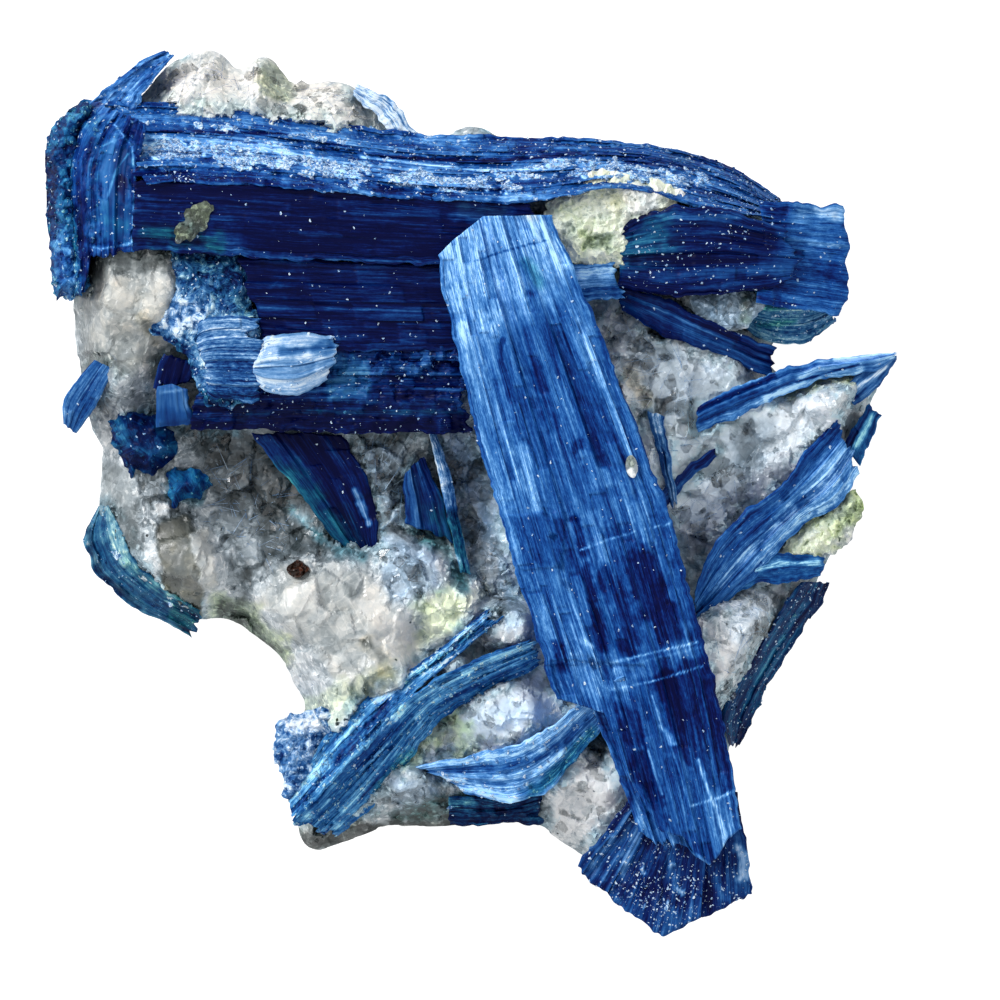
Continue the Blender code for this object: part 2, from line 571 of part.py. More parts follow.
def lower_blades(deep, royal, pale, teal):
    """The bundle at the lower left and the blades around it."""
    yield blade("curved_blade", royal,
        ([(42.2, 76.4), (50.0, 75.0), (55.0, 73.2), (59.0, 69.8), (62.2, 68.3)],
         [(43.6, 79.0), (49.0, 79.8), (55.0, 77.2), (60.0, 72.6), (63.2, 70.0)]),
        top=[(23.0, 22.0), (25.0, 23.6), (27.4, 26.0)], floor=16.0,
        laths=5, step=0.7, ragged=0.8, stations=6)  # fmt: skip
    yield blade("outer_bundle", royal,
        ([(29.0, 82.4), (32.8, 78.6), (37.0, 74.2), (41.0, 69.8), (45.4, 67.0), (53.4, 63.9)],
         [(33.6, 84.0), (38.4, 79.2), (41.0, 75.8), (44.0, 71.6), (48.4, 69.4), (54.6, 66.2)]),
        top=[(22.4, 18.0), (25.0, 21.0), (26.4, 23.0), (26.2, 23.6)], floor=12.0,
        laths=6, step=0.9, ragged=1.0, stations=6)  # fmt: skip
    yield blade("inner_bundle", royal,
        ([(28.9, 79.0), (31.2, 75.6), (35.2, 71.0), (38.0, 69.0), (44.0, 65.0), (49.2, 60.6)],
         [(29.0, 82.2), (32.6, 78.6), (36.8, 74.2), (40.6, 69.8), (44.6, 66.4), (50.0, 61.8)]),
        top=[(21.6, 23.0), (23.4, 24.8), (24.2, 25.2), (24.6, 24.8)], floor=12.0,
        laths=5, step=0.9, ragged=0.8, stations=6)  # fmt: skip
    yield lump("pale_nub", pale,
        [(27.2, 75.0), (27.8, 73.0), (29.6, 71.5), (31.4, 72.6), (31.2, 75.0), (29.6, 77.8),
         (28.6, 79.0), (27.4, 77.4)],
        height=22.6, floor=13.0, spacing=2.0)  # fmt: skip
    yield blade("shadow_blade", teal,
        ([(44.8, 79.9), (50.0, 80.3), (53.6, 78.8)], [(45.2, 82.6), (49.6, 82.4), (54.4, 82.4)]),
        top=[(20.6, 18.6), (20.4, 18.4)], floor=11.0,
        laths=3, step=0.6, stations=3)  # fmt: skip
    yield blade("foot_blade", deep,
        ([(63.6, 80.4), (60.4, 83.6), (57.9, 86.6), (61.8, 90.3), (66.3, 94.3)],
         [(73.6, 80.0), (74.2, 83.0), (75.1, 85.8), (75.3, 87.6), (75.3, 89.2)]),
        top=[(24.0, 24.6), (23.6, 25.0), (22.0, 23.6)], floor=11.0,
        laths=7, step=0.8, ragged=0.9, stations=6)  # fmt: skip


def left_blades(deep, royal, pale, teal):
    """The small blades in and around the left of the quartz."""
    yield blade("centre_blade", deep,
        ([(25.0, 42.9), (29.8, 49.0), (33.4, 54.0), (35.4, 55.4)],
         [(33.4, 42.9), (36.0, 47.0), (37.6, 51.5), (37.6, 55.2)]),
        top=[(22.4, 22.0), (21.4, 21.6), (20.0, 20.4)], floor=12.0,
        laths=5, step=0.6, ragged=0.8)  # fmt: skip
    yield blade("short_blade", deep,
        ([(40.4, 47.4), (40.6, 49.6), (41.0, 52.4)], [(42.4, 46.0), (43.8, 49.4), (45.0, 54.2)]),
        top=[(22.0, 21.8), (20.6, 20.4)], floor=12.0,
        laths=3, step=0.5, stations=3)  # fmt: skip
    yield blade("pale_sliver", pale,
        ([(43.0, 43.4), (44.4, 51.0), (46.2, 57.5)], [(43.7, 43.4), (45.5, 51.0), (46.9, 57.4)]),
        top=[(22.4, 22.2), (21.4, 21.2)], floor=14.0,
        laths=1, step=0.0, stations=3)  # fmt: skip
    yield blade("left_stub", royal,
        ([(9.3, 36.2), (6.3, 39.9), (6.2, 42.4)], [(11.1, 37.0), (9.0, 40.8), (7.4, 43.1)]),
        top=[(24.0, 24.0), (21.4, 21.0)], floor=14.0,
        laths=3, step=0.5, stations=3)  # fmt: skip
    yield blade("block_blade", deep,
        ([(15.8, 39.0), (15.7, 42.6)], [(19.0, 38.6), (18.4, 42.4)]),
        top=[(24.4, 24.8), (23.4, 23.8)], floor=16.0,
        laths=2, step=0.4, stations=2)  # fmt: skip
    yield blade("dark_nub", deep,
        ([(16.4, 35.4), (15.7, 38.3)], [(19.6, 36.4), (18.8, 38.1)]),
        top=[(25.2, 25.4), (24.6, 24.8)], floor=17.0,
        laths=2, step=0.4, stations=2)  # fmt: skip
    yield blade("left_rim_blade", teal,
        ([(9.4, 50.8), (8.0, 53.6), (9.4, 57.6), (13.6, 61.0), (18.8, 63.6)],
         [(10.6, 50.8), (12.0, 53.6), (13.0, 56.4), (16.0, 59.0), (20.0, 61.4)]),
        top=[(13.0, 17.6), (12.8, 18.0), (12.6, 17.0)], floor=8.0,
        laths=4, step=0.6, stations=6)  # fmt: skip


def crusts(green, garnet):
    """The green-stained quartz, and one dark red grain."""
    yield lump("green_crust_top", green,
        [(54.6, 20.6), (57.0, 18.2), (60.0, 16.8), (64.0, 17.6), (67.2, 18.4), (66.4, 20.4),
         (62.0, 22.4), (61.2, 26.2), (57.6, 26.4), (56.0, 23.4)],
        height=27.0, floor=19.0, spacing=2.2, relief=1.4)  # fmt: skip
    yield lump("green_crust_right", green,
        [(79.4, 54.6), (81.0, 52.4), (84.0, 50.6), (85.8, 49.0), (86.4, 51.4), (85.2, 53.6),
         (82.8, 55.2)],
        height=22.4, floor=14.0, spacing=2.0, relief=1.2)  # fmt: skip
    yield lump("garnet_grain", garnet,
        [(28.9, 56.6), (29.7, 56.2), (30.4, 56.6), (30.3, 57.5), (29.6, 57.9), (28.9, 57.4)],
        height=22.6, floor=19.0, spacing=1.0, relief=0.2, dome=0.5)  # fmt: skip


def build():
    for thing in list(bpy.data.objects):
        bpy.data.objects.remove(thing)
    deep = finish("kyanite_deep", (0.010, 0.016, 0.150), 0.32)
    royal = finish("kyanite_royal", (0.020, 0.085, 0.400), 0.38)
    pale = finish("kyanite_pale", (0.230, 0.390, 0.700), 0.50)
    teal = finish("kyanite_teal", (0.015, 0.110, 0.220), 0.45)
    white = finish("quartz", (0.560, 0.560, 0.550), 0.50)
    green = finish("green_quartz", (0.380, 0.460, 0.270), 0.60)
    garnet = finish("garnet", (0.090, 0.018, 0.008), 0.35)

    # The highest pieces come first, and each piece makes room for the ones before it.
    fitted = []
    for group in (
        great_blade(royal),
        upper_bundle(deep, royal, pale),
        right_bundle(deep, royal, teal),
        right_blades(deep, royal, pale),
        lower_blades(deep, royal, pale, teal),
        left_blades(deep, royal, pale, teal),
        crusts(green, garnet),
    ):
        for piece, pocket in group:
            cut(piece, [cutter for _, cutter in fitted])
            fitted.append((piece, pocket))
    edge = evenly_round(MATRIX_OUTLINE, GRAIN)
    matrix = rock("quartz_matrix", white, edge, GRAIN, matrix_top, matrix_back, BACK_GRAIN, 3)
    cut(matrix, [cutter for _, cutter in fitted])
    for _, cutter in fitted:
        bpy.data.objects.remove(cutter)


if __name__ == "__main__":
    build()
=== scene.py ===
# %% [markdown]
# # A blue kyanite cluster in quartz
#
# Kyanite grows as long flat blades that split into thin laths, and quartz fills the room between
# them as glassy grains. The solid model gives every blade and the quartz their place and their main
# form. This script gives each of them the surface that a collector would look at.
#
# Everything is measured on a sheet that covers the specimen: x to the right and y down the sheet,
# in millimetres, with heights above the surface that the specimen lies on.

# %% Load the fixed frame
import itertools
import json
import math
import random
import re

import bpy
import numpy as np
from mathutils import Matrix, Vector
from mathutils.geometry import delaunay_2d_cdt

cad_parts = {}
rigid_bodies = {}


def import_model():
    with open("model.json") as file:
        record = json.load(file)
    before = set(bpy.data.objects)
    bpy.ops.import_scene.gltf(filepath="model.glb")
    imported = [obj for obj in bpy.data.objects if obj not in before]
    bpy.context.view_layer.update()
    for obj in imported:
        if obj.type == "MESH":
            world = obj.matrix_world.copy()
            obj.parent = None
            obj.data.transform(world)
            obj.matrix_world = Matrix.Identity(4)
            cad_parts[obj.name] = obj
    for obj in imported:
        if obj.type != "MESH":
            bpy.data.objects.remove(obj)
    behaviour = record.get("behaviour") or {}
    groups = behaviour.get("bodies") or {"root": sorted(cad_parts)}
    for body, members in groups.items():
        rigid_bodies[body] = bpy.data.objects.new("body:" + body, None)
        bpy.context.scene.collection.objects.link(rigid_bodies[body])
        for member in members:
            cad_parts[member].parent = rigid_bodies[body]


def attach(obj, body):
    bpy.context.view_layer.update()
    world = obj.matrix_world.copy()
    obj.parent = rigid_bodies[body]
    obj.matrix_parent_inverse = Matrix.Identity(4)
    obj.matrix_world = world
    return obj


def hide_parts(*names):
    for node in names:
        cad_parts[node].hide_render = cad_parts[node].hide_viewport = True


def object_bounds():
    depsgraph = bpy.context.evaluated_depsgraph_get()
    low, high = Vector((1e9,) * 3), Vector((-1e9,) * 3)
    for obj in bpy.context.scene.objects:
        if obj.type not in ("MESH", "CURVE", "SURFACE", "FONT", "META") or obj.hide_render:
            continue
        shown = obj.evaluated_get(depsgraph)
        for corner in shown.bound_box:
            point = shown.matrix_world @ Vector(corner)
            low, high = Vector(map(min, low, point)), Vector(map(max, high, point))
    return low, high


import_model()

MM = 0.001
SHEET_CENTRE = (47.1, 49.2)  # where the middle of the shared frame lies on the sheet
cad_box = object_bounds()
for thing in list(bpy.data.objects):
    if thing.type in ("LIGHT", "CAMERA") or thing.name == "Cube":
        bpy.data.objects.remove(thing)
print("CAD box", [[round(v / MM, 1) for v in corner] for corner in cad_box])

# %% [markdown]
# ## Chance and pattern
#
# Nothing on a broken stone is even, and nothing on it may change from run to run. Every random
# number below comes from whole numbers mixed with a seed, so the same place always gets the same
# value. Two patterns do nearly all the work: smooth noise, and broken grains with flat faces.


# %% Noise and grains
def hashed(seed, *places):
    """Even random numbers from 0 to 1, one for each set of whole numbers."""
    mixed = np.full(np.broadcast(*places).shape, (seed * 0x9E3779B1) & 0xFFFFFFFF, np.uint32)
    for place in places:
        mixed = (mixed ^ place.astype(np.int64).astype(np.uint32)) * np.uint32(0x85EBCA6B)
        mixed ^= mixed >> np.uint32(13)
        mixed *= np.uint32(0xC2B2AE35)
        mixed ^= mixed >> np.uint32(16)
    return mixed / float(0xFFFFFFFF)


def noise(seed, *axes):
    """Smooth noise from -1 to 1 with features one unit long."""
    low = [np.floor(axis) for axis in axes]
    part = [axis - floor for axis, floor in zip(axes, low)]
    part = [p * p * (3.0 - 2.0 * p) for p in part]
    total = 0.0
    for corner in itertools.product((0, 1), repeat=len(axes)):
        weight = 1.0
        for step, p in zip(corner, part):
            weight = weight * (p if step else 1.0 - p)
        total = total + weight * hashed(seed, *(floor + step for floor, step in zip(low, corner)))
    return 2.0 * total - 1.0


def grains(seed, a, b, tilt=1.0, crisp=12.0):
    """Broken grains one unit across: (the grain's own number, the height of its flat face, the
    distance to its edge) at each point. Neighbouring faces meet along narrow bevels."""
    low_a, low_b = np.floor(a), np.floor(b)
    away, own, plane = [], [], []
    for step_a, step_b in itertools.product((-1, 0, 1), repeat=2):
        cell = low_a + step_a, low_b + step_b
        gap_a = a - cell[0] - 0.1 - 0.8 * hashed(seed, *cell)
        gap_b = b - cell[1] - 0.1 - 0.8 * hashed(seed + 1, *cell)
        away.append(np.hypot(gap_a, gap_b))
        own.append(hashed(seed + 2, *cell))
        slope = (hashed(seed + 3, *cell) - 0.5) * gap_a + (hashed(seed + 4, *cell) - 0.5) * gap_b
        plane.append(own[-1] - 0.5 + 2.0 * tilt * slope)
    away, own, plane = np.array(away), np.array(own), np.array(plane)
    order = np.sort(away, axis=0)
    weight = np.exp(-crisp * (away - order[0]))
    height = (weight * plane).sum(axis=0) / weight.sum(axis=0)
    number = np.take_along_axis(own, away.argmin(axis=0)[None], 0)[0]
    return number, height, order[1] - order[0]


def smooth_step(t):
    t = np.clip(t, 0.0, 1.0)
    return t * t * (3.0 - 2.0 * t)


# %% [markdown]
# ## Drawing on the sheet
#
# The colour of kyanite changes along and across a blade: navy where it is thick and clear, royal
# blue in between, nearly white where the surface is splintered. Those patches are drawn as brush
# strokes and areas with slightly ragged edges, on the points of the mesh itself, so they stay put
# from every side.


# %% Lines, areas and brush strokes
def pairs(text):
    """Turns "12.5,30 14,31" into [(12.5, 30.0), (14.0, 31.0)]."""
    return [tuple(map(float, pair.split(","))) for pair in text.split()]


def line_distance(xy, line):
    nearest = np.full(len(xy), np.inf)
    for a, b in zip(line, line[1:] or line):
        start, run = np.array(a), np.subtract(b, a)
        share = np.clip((xy - start) @ run / max(run @ run, 1e-9), 0.0, 1.0)
        nearest = np.minimum(nearest, np.linalg.norm(xy - start - share[:, None] * run, axis=1))
    return nearest


def edge_distance(xy, outline):
    return line_distance(xy, [*outline, outline[0]])


def inside(xy, outline):
    x, y = xy.T
    found = np.zeros(len(xy), bool)
    for (ax, ay), (bx, by) in zip(outline, outline[1:] + outline[:1]):
        if ay != by:
            found ^= ((ay > y) != (by > y)) & (x < (bx - ax) * (y - ay) / (by - ay) + ax)
    return found


def cover(xy, points, width, soft):
    """How much of a brush stroke, or of an area where width is 0, lies on each point."""
    if width:
        depth = width / 2.0 - line_distance(xy, points)
    else:
        away = edge_distance(xy, points)
        depth = np.where(inside(xy, points), away, -away)
    wobble = min(0.5 * soft + 0.12, 0.35 * width or 0.6)
    ragged = noise(11, *(xy.T / 1.1)) + 0.6 * noise(12, *(xy.T / 0.4))
    return np.clip((depth + wobble * ragged) / soft + 0.5, 0.0, 1.0)


def paint_on(layers, xy, table):
    """Each line of the table is a stroke: its width and softness, then layers with their values,
    a colon and the points. Width 0 fills the outline. A rise is added to what is there."""
    for line in table.strip().splitlines():
        if line.startswith("#"):
            continue
        brush, points = line.split(":")
        sizes = [float(word) for word in brush.split() if "=" not in word]
        width, soft = sizes if len(sizes) > 1 else (sizes[0], max(0.4 * sizes[0], 0.15))
        share = cover(xy, pairs(points), width, soft)
        for layer, value in re.findall(r"(\w+)=(\S+)", brush):
            layers[layer] += (float(value) - (layer != "rise") * layers[layer]) * share

# %% [markdown]
# ## Meshes and their layers
#
# Each point of a mesh carries a few numbers beside its place: how light the blue is, how frosted,
# how green, and how thickly crumbs lie there. They are stored as attributes, which the materials and
# the scattering trees read by name.

# %% Make a mesh with layers
LAYERS = ("tone", "frost", "teal", "warm", "calm", "crumbs", "grit", "flecks", "fibres", "clear")
BOX_MARGIN = 2e-5  # metres between the pieces and the solid model's box
made = []


def on_sheet(points):
    """Sheet millimetres to metres in the shared frame."""
    centre_x, centre_y = SHEET_CENTRE
    return np.column_stack((points[:, 0] - centre_x, centre_y - points[:, 1], points[:, 2])) * MM


def in_box(places):
    low, high = np.array(cad_box)
    return np.clip(places, low + (BOX_MARGIN, BOX_MARGIN, 0.0), high - BOX_MARGIN)


def in_scene(name, data):
    thing = bpy.data.objects.new(name, data)
    bpy.context.scene.collection.objects.link(thing)
    return thing


def add_values(mesh, layers):
    for layer, values in layers.items():
        numbers = np.asarray(values, np.float32)
        mesh.attributes.new(layer, "FLOAT", "POINT").data.foreach_set("value", numbers)


def walls_between(rings):
    """Four-sided faces between neighbouring rings of point numbers."""
    faces = []
    for high, low in zip(rings, rings[1:]):
        faces += np.stack([high, np.roll(high, -1), np.roll(low, -1), low], -1).tolist()
    return faces


def mesh_object(name, points, faces, grain, layers, material, sharp=32.0):
    """A closed mesh from sheet millimetres, shaded smooth except over sharp edges."""
    mesh = bpy.data.meshes.new(name)
    mesh.from_pydata(in_box(on_sheet(points)).tolist(), [], faces)
    mesh.attributes.new("grain", "FLOAT_VECTOR", "POINT").data.foreach_set("vector", grain.ravel())
    add_values(mesh, {layer: layers.get(layer, np.zeros(len(points))) for layer in LAYERS})
    mesh.validate()
    mesh.shade_smooth()
    mesh.set_sharp_from_angle(angle=math.radians(sharp))
    mesh.materials.append(material)
    return in_scene(name, mesh)


def stand_for(piece, slot, *nodes):
    """The piece rides on the specimen and stands for CAD nodes, which it hides. Its slot is not used."""
    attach(piece, "root")
    if nodes:
        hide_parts(*nodes)
    made.append(piece)

# %% [markdown]
# ## The blue of kyanite
#
# One group of shader nodes draws what every blade shows at the scale of a hair: long fine streaks
# along the blade, short pale dashes where laths have splintered, and a colour that runs from near
# black through royal blue to frosted white. Each material places the group with its own values and
# keeps its own shader.


# %% Small helpers for node trees
def link_from(tree, kind, values=(), **settings):
    """Adds a node, sets its properties, and links or sets its inputs by name or number."""
    node = tree.nodes.new(kind)
    for key, value in settings.items():
        setattr(node, key, value)
    for key, value in dict(values).items():
        if isinstance(value, bpy.types.NodeSocket):
            tree.links.new(value, node.inputs[key])
        else:
            node.inputs[key].default_value = value
    return node


def maths(tree, operation, *values, clamp=False):
    node = link_from(tree, "ShaderNodeMath", enumerate(values), operation=operation, use_clamp=clamp)
    return node.outputs[0]


def add(tree, first, *others):
    for other in others:
        first = maths(tree, "ADD", first, other)
    return first


def times(tree, first, *others):
    for other in others:
        first = maths(tree, "MULTIPLY", first, other)
    return first


def minus(tree, value, other):
    return maths(tree, "SUBTRACT", value, other)


def swing(tree, value, amount):
    """A value from 0 to 1 made to swing round 0 by an amount."""
    return times(tree, minus(tree, value, 0.5), amount)


def vectors(tree, operation, *values):
    node = link_from(tree, "ShaderNodeVectorMath", enumerate(values), operation=operation)
    return node.outputs["Value" if operation == "DOT_PRODUCT" else "Vector"]


def noise_of(tree, vector, scale, detail=2.0, rough=0.5):
    values = {"Vector": vector, "Scale": scale, "Detail": detail, "Roughness": rough}
    return link_from(tree, "ShaderNodeTexNoise", values).outputs[0]


def remap(tree, value, low, high, to_low=0.0, to_high=1.0):
    values = {0: value, 1: low, 2: high, 3: to_low, 4: to_high}
    return link_from(tree, "ShaderNodeMapRange", values, clamp=True).outputs[0]


def blend(tree, share, one, other, kind="MIX"):
    values = {0: share, 6: one, 7: other}
    return link_from(tree, "ShaderNodeMix", values, data_type="RGBA", blend_type=kind).outputs[2]


def colour_ramp(tree, value, steps):
    ramp = link_from(tree, "ShaderNodeValToRGB", {0: value})
    elements = ramp.color_ramp.elements
    while len(elements) < len(steps):
        elements.new(0.5)
    for element, (place, colour) in zip(elements, steps):
        element.position, element.color = place, (*colour, 1.0)
    return ramp.outputs[0]


def new_group(name, inputs, outputs):
    group = bpy.data.node_groups.new(name, "ShaderNodeTree")
    for label, kind, value in inputs:
        socket = group.interface.new_socket(label, in_out="INPUT", socket_type=kind)
        if value is not None:
            socket.default_value = value
    for label, kind in outputs:
        group.interface.new_socket(label, in_out="OUTPUT", socket_type=kind)
    return group, group.nodes.new("NodeGroupInput").outputs, group.nodes.new("NodeGroupOutput").inputs


FLOAT, VECTOR, COLOUR = "NodeSocketFloat", "NodeSocketVector", "NodeSocketColor"

# %% [markdown]
# The streaks are noise that is stretched along the blade, at three widths. Kyanite is darker where
# it is thick, so one ramp of blues serves every blade, and each material shifts its hue.

# %% The streaks, dashes and colours of a blade
BLUES = [
    (0.00, (0.0005, 0.0018, 0.030)),
    (0.15, (0.0010, 0.0070, 0.070)),
    (0.30, (0.0035, 0.0280, 0.135)),
    (0.45, (0.0100, 0.0680, 0.230)),
    (0.60, (0.0400, 0.1400, 0.340)),
    (0.75, (0.1250, 0.2700, 0.500)),
    (0.88, (0.3100, 0.4700, 0.700)),
    (1.00, (0.7200, 0.8100, 0.890)),
]
TEAL_TINT, RUST_TINT = (0.70, 1.45, 0.70, 1.0), (1.7, 0.85, 0.50, 1.0)


def kyanite_group():
    group, given, out = new_group(
        "Kyanite surface",
        [("Grain", VECTOR, None), ("Tone", FLOAT, 0.4), ("Frost", FLOAT, 0.2), ("Teal", FLOAT, 0.0),
         ("Streak Contrast", FLOAT, 0.2), ("Dash Strength", FLOAT, 0.6), ("Mottle", FLOAT, 1.0),
         ("Hue", COLOUR, (1.0, 1.0, 1.0, 1.0)), ("Warm", FLOAT, 0.0), ("Calm", FLOAT, 0.0)],
        [("Color", COLOUR), ("Height", FLOAT), ("Roughness", FLOAT)],
    )

    def grained(along, across, detail, rough):
        """Noise that is drawn out along the blade."""
        stretched = vectors(group, "MULTIPLY", given["Grain"], (along, across, 1.0))
        return noise_of(group, stretched, 1.0, detail, rough)

    broad, fine, hair = (
        grained(0.07, 1.3, 3.0, 0.6), grained(0.16, 5.0, 3.0, 0.65), grained(0.5, 11.0, 2.0, 0.7)
    )
    dash, patchy, mottle = (
        grained(0.8, 6.5, 4.0, 0.75), grained(0.25, 0.5, 3.0, 0.6), grained(1.8, 4.2, 3.0, 0.8)
    )
    streak = add(group, swing(group, broad, 1.51), swing(group, fine, 2.045),
                 swing(group, hair, 1.3), swing(group, mottle, given["Mottle"]))
    lively = minus(group, 1.0, times(group, given["Calm"], 0.8))
    streak = times(group, streak, times(group, lively, given["Streak Contrast"]))
    threshold = minus(group, 0.80, times(group, given["Frost"], 0.42))
    threshold = minus(group, threshold, swing(group, patchy, 0.35))
    dashes = maths(group, "MULTIPLY", minus(group, dash, threshold), 9.0, clamp=True)
    lift = times(group, dashes, lively, given["Dash Strength"], 0.34)
    tone = maths(group, "ADD", add(group, given["Tone"], streak), lift, clamp=True)

    vivid = blend(group, 1.0, colour_ramp(group, tone, BLUES), given["Hue"], "MULTIPLY")
    greener = blend(group, 1.0, vivid, TEAL_TINT, "MULTIPLY")
    rusty = blend(group, 1.0, vivid, RUST_TINT, "MULTIPLY")
    colour = blend(group, given["Warm"], blend(group, given["Teal"], vivid, greener), rusty)
    group.links.new(colour, out["Color"])
    height = add(group, times(group, fine, 0.6), times(group, hair, 0.25))
    group.links.new(height, out["Height"])
    group.links.new(remap(group, dashes, 0.0, 1.0, 0.0, 0.22), out["Roughness"])
    return group


kyanite_surface = kyanite_group()

# %% [markdown]
# Each kyanite slot gets its own material around that group. The clear navy blades are the
# glassiest, and the crumbly pale ones the dullest.


# %% The four kyanite materials
def attribute(tree, name, output="Fac"):
    return link_from(tree, "ShaderNodeAttribute", attribute_name=name).outputs[output]


def new_material(name, colour):
    material = bpy.data.materials.new(name)
    material.use_nodes = True
    material.diffuse_color = (*colour, 1.0)
    return material, material.node_tree, material.node_tree.nodes["Principled BSDF"]


def dress(tree, shader, surface, rough, relief):
    """Roughness and relief from a group's outputs. The relief's own values come as a dict."""
    tree.links.new(maths(tree, "ADD", surface["Roughness"], rough), shader.inputs["Roughness"])
    bump = link_from(tree, "ShaderNodeBump", {"Height": surface["Height"], **relief})
    tree.links.new(bump.outputs[0], shader.inputs["Normal"])


def kyanite_material(name, colour, hue, rough, contrast, dashes, mottle, bump):
    material, tree, shader = new_material(name, colour)
    layers = {label: attribute(tree, label.lower()) for label in ("Tone", "Frost", "Teal", "Warm", "Calm")}
    surface = link_from(tree, "ShaderNodeGroup", {
        "Grain": attribute(tree, "grain", "Vector"), **layers, "Hue": (*hue, 1.0),
        "Streak Contrast": contrast, "Dash Strength": dashes, "Mottle": mottle,
    }, node_tree=kyanite_surface).outputs
    tree.links.new(surface["Color"], shader.inputs["Base Color"])
    dress(tree, shader, surface, rough, {"Strength": 0.6, "Distance": bump * MM})
    shader.inputs["IOR"].default_value = 1.5
    shader.inputs["Specular IOR Level"].default_value = 0.07
    return material


# Base colour, hue, roughness, streak contrast, dash strength, mottle and relief in millimetres.
KYANITE = {
    slot: kyanite_material(slot + "_blades", *values)
    for slot, values in {
        "kyanite_royal": ((0.02, 0.085, 0.4), (0.68, 1.0, 1.24), 0.40, 0.42, 0.7, 1.44, 0.05),
        "kyanite_deep": ((0.01, 0.016, 0.15), (0.92, 1.0, 1.08), 0.36, 0.36, 0.7, 1.04, 0.04),
        "kyanite_pale": ((0.23, 0.39, 0.7), (0.95, 1.0, 1.03), 0.48, 0.56, 0.8, 1.92, 0.07),
        "kyanite_teal": ((0.015, 0.11, 0.22), (1.0, 1.1, 0.95), 0.42, 0.50, 0.8, 1.76, 0.06),
    }.items()
}
print("kyanite materials", sorted(KYANITE))

# %% [markdown]
# ## A blade
#
# On the stone a blade is a stack of laths that cleaved at different levels, each with its own broken
# end, and each lath is itself a bundle of thinner ones. The mesh follows that build: columns of
# points run across the blade, lath by lath, and rows run along it. Thin laths step down by a tenth
# of a millimetre here and there, which is what makes the fine pale and dark lines of the surface.

# %% Across the blade: laths within laths
COLUMN_GAP = 0.10  # across the blade
ROW_GAP = 0.20  # along the blade
RISER_RUN = 0.12
THIN_LATH, THIN_RISER, THIN_STEP = 0.75, 0.03, 0.16
UNDERCUT, MOST_UNDERCUT = 0.2, 0.3  # how far the walls lean in: share of the height, of the blade


def columns_of(name, width, laths, step, ragged, fray):
    """Rows of numbers across the blade: share across, level, short at the start and at the end,
    the thin lath's number and its tone."""
    draw, thin = random.Random(name), random.Random(name + " thin laths")
    widths = [draw.uniform(0.6, 1.4) for _ in range(laths)]
    riser = min(RISER_RUN / width, 0.1 / laths)
    columns = []
    for k in range(laths):
        first, last = sum(widths[:k]) / sum(widths), sum(widths[: k + 1]) / sum(widths)
        first += riser if k else 0.0
        last -= riser if k < laths - 1 else 0.0
        level = -draw.random() * step
        short_start, short_end = draw.random() * ragged, draw.random() * ragged
        count = max(1, round((last - first) * width / THIN_LATH))
        cuts = sorted(thin.uniform(0.0, 1.0) for _ in range(count - 1))
        for a, b in zip([0.0, *cuts], [*cuts, 1.0]):
            own = (thin.random(), thin.uniform(-1.0, 1.0), thin.random() * fray, thin.random() * fray)
            start, stop = first + (last - first) * a, first + (last - first) * b
            start += THIN_RISER / width if a else 0.0
            if stop - start < 2.0 * THIN_RISER / width:
                continue
            many = max(2, math.ceil((stop - start) * width / COLUMN_GAP) + 1)
            for share in np.linspace(start, stop, many):
                ends = short_start + own[2], short_end + own[3]
                columns.append((share, level - THIN_STEP * own[0], *ends, own[0], own[1]))
    return np.array(columns).T


def along(points, t):
    """The points of a line at shares of its length, past its ends too."""
    line = np.array(points, float)
    runs = np.concatenate(([0.0], np.cumsum(np.linalg.norm(np.diff(line, axis=0), axis=1))))
    place = np.clip(t, 0.0, 1.0) * runs[-1]
    found = np.stack([np.interp(place, runs, line[:, n]) for n in (0, 1)], -1)
    ends = (line[-1] - line[-2]) / (runs[-1] - runs[-2]), (line[1] - line[0]) / runs[1]
    past = np.maximum(t - 1.0, 0.0)[..., None] * ends[0] + np.minimum(t, 0.0)[..., None] * ends[1]
    return found + past * runs[-1]


def rounded(points, rounds=2):
    """Cuts the corners of a line, so that it bends gently."""
    line = [np.array(p, float) for p in points]
    for _ in range(rounds):
        cut = [line[0]]
        for a, b in zip(line, line[1:]):
            cut += [0.8 * a + 0.2 * b, 0.2 * a + 0.8 * b]
        line = [*cut[:1], *cut[2:-1], line[-1]] if len(line) > 2 else line
    return line


# %% [markdown]
# The blade's underside is hidden in the quartz, so it is one flat face. Its sides go down from the
# outer columns in courses of thin layers, and lean in a little, as a blade does that widens towards
# the light.

# %% The blade itself
WHOLE_START, WHOLE_END, EVEN_SLOPE = "0,0 1,0", "0,1 1,1", "0,0 1,1"
GROWN = 0.22  # how far a blade reaches into the gap round its solid
RIM_DROP, RIM_WIDTH = 0.16, 0.22  # the worn edge round its top
SINK_RUN = 2.5
COURSES = (0.01, 0.03, 0.06, 0.1, 0.15, 0.21, 0.28, 0.36, 0.45, 0.56, 0.7, 0.85, 1.0)
surfaces, grounds = [], []


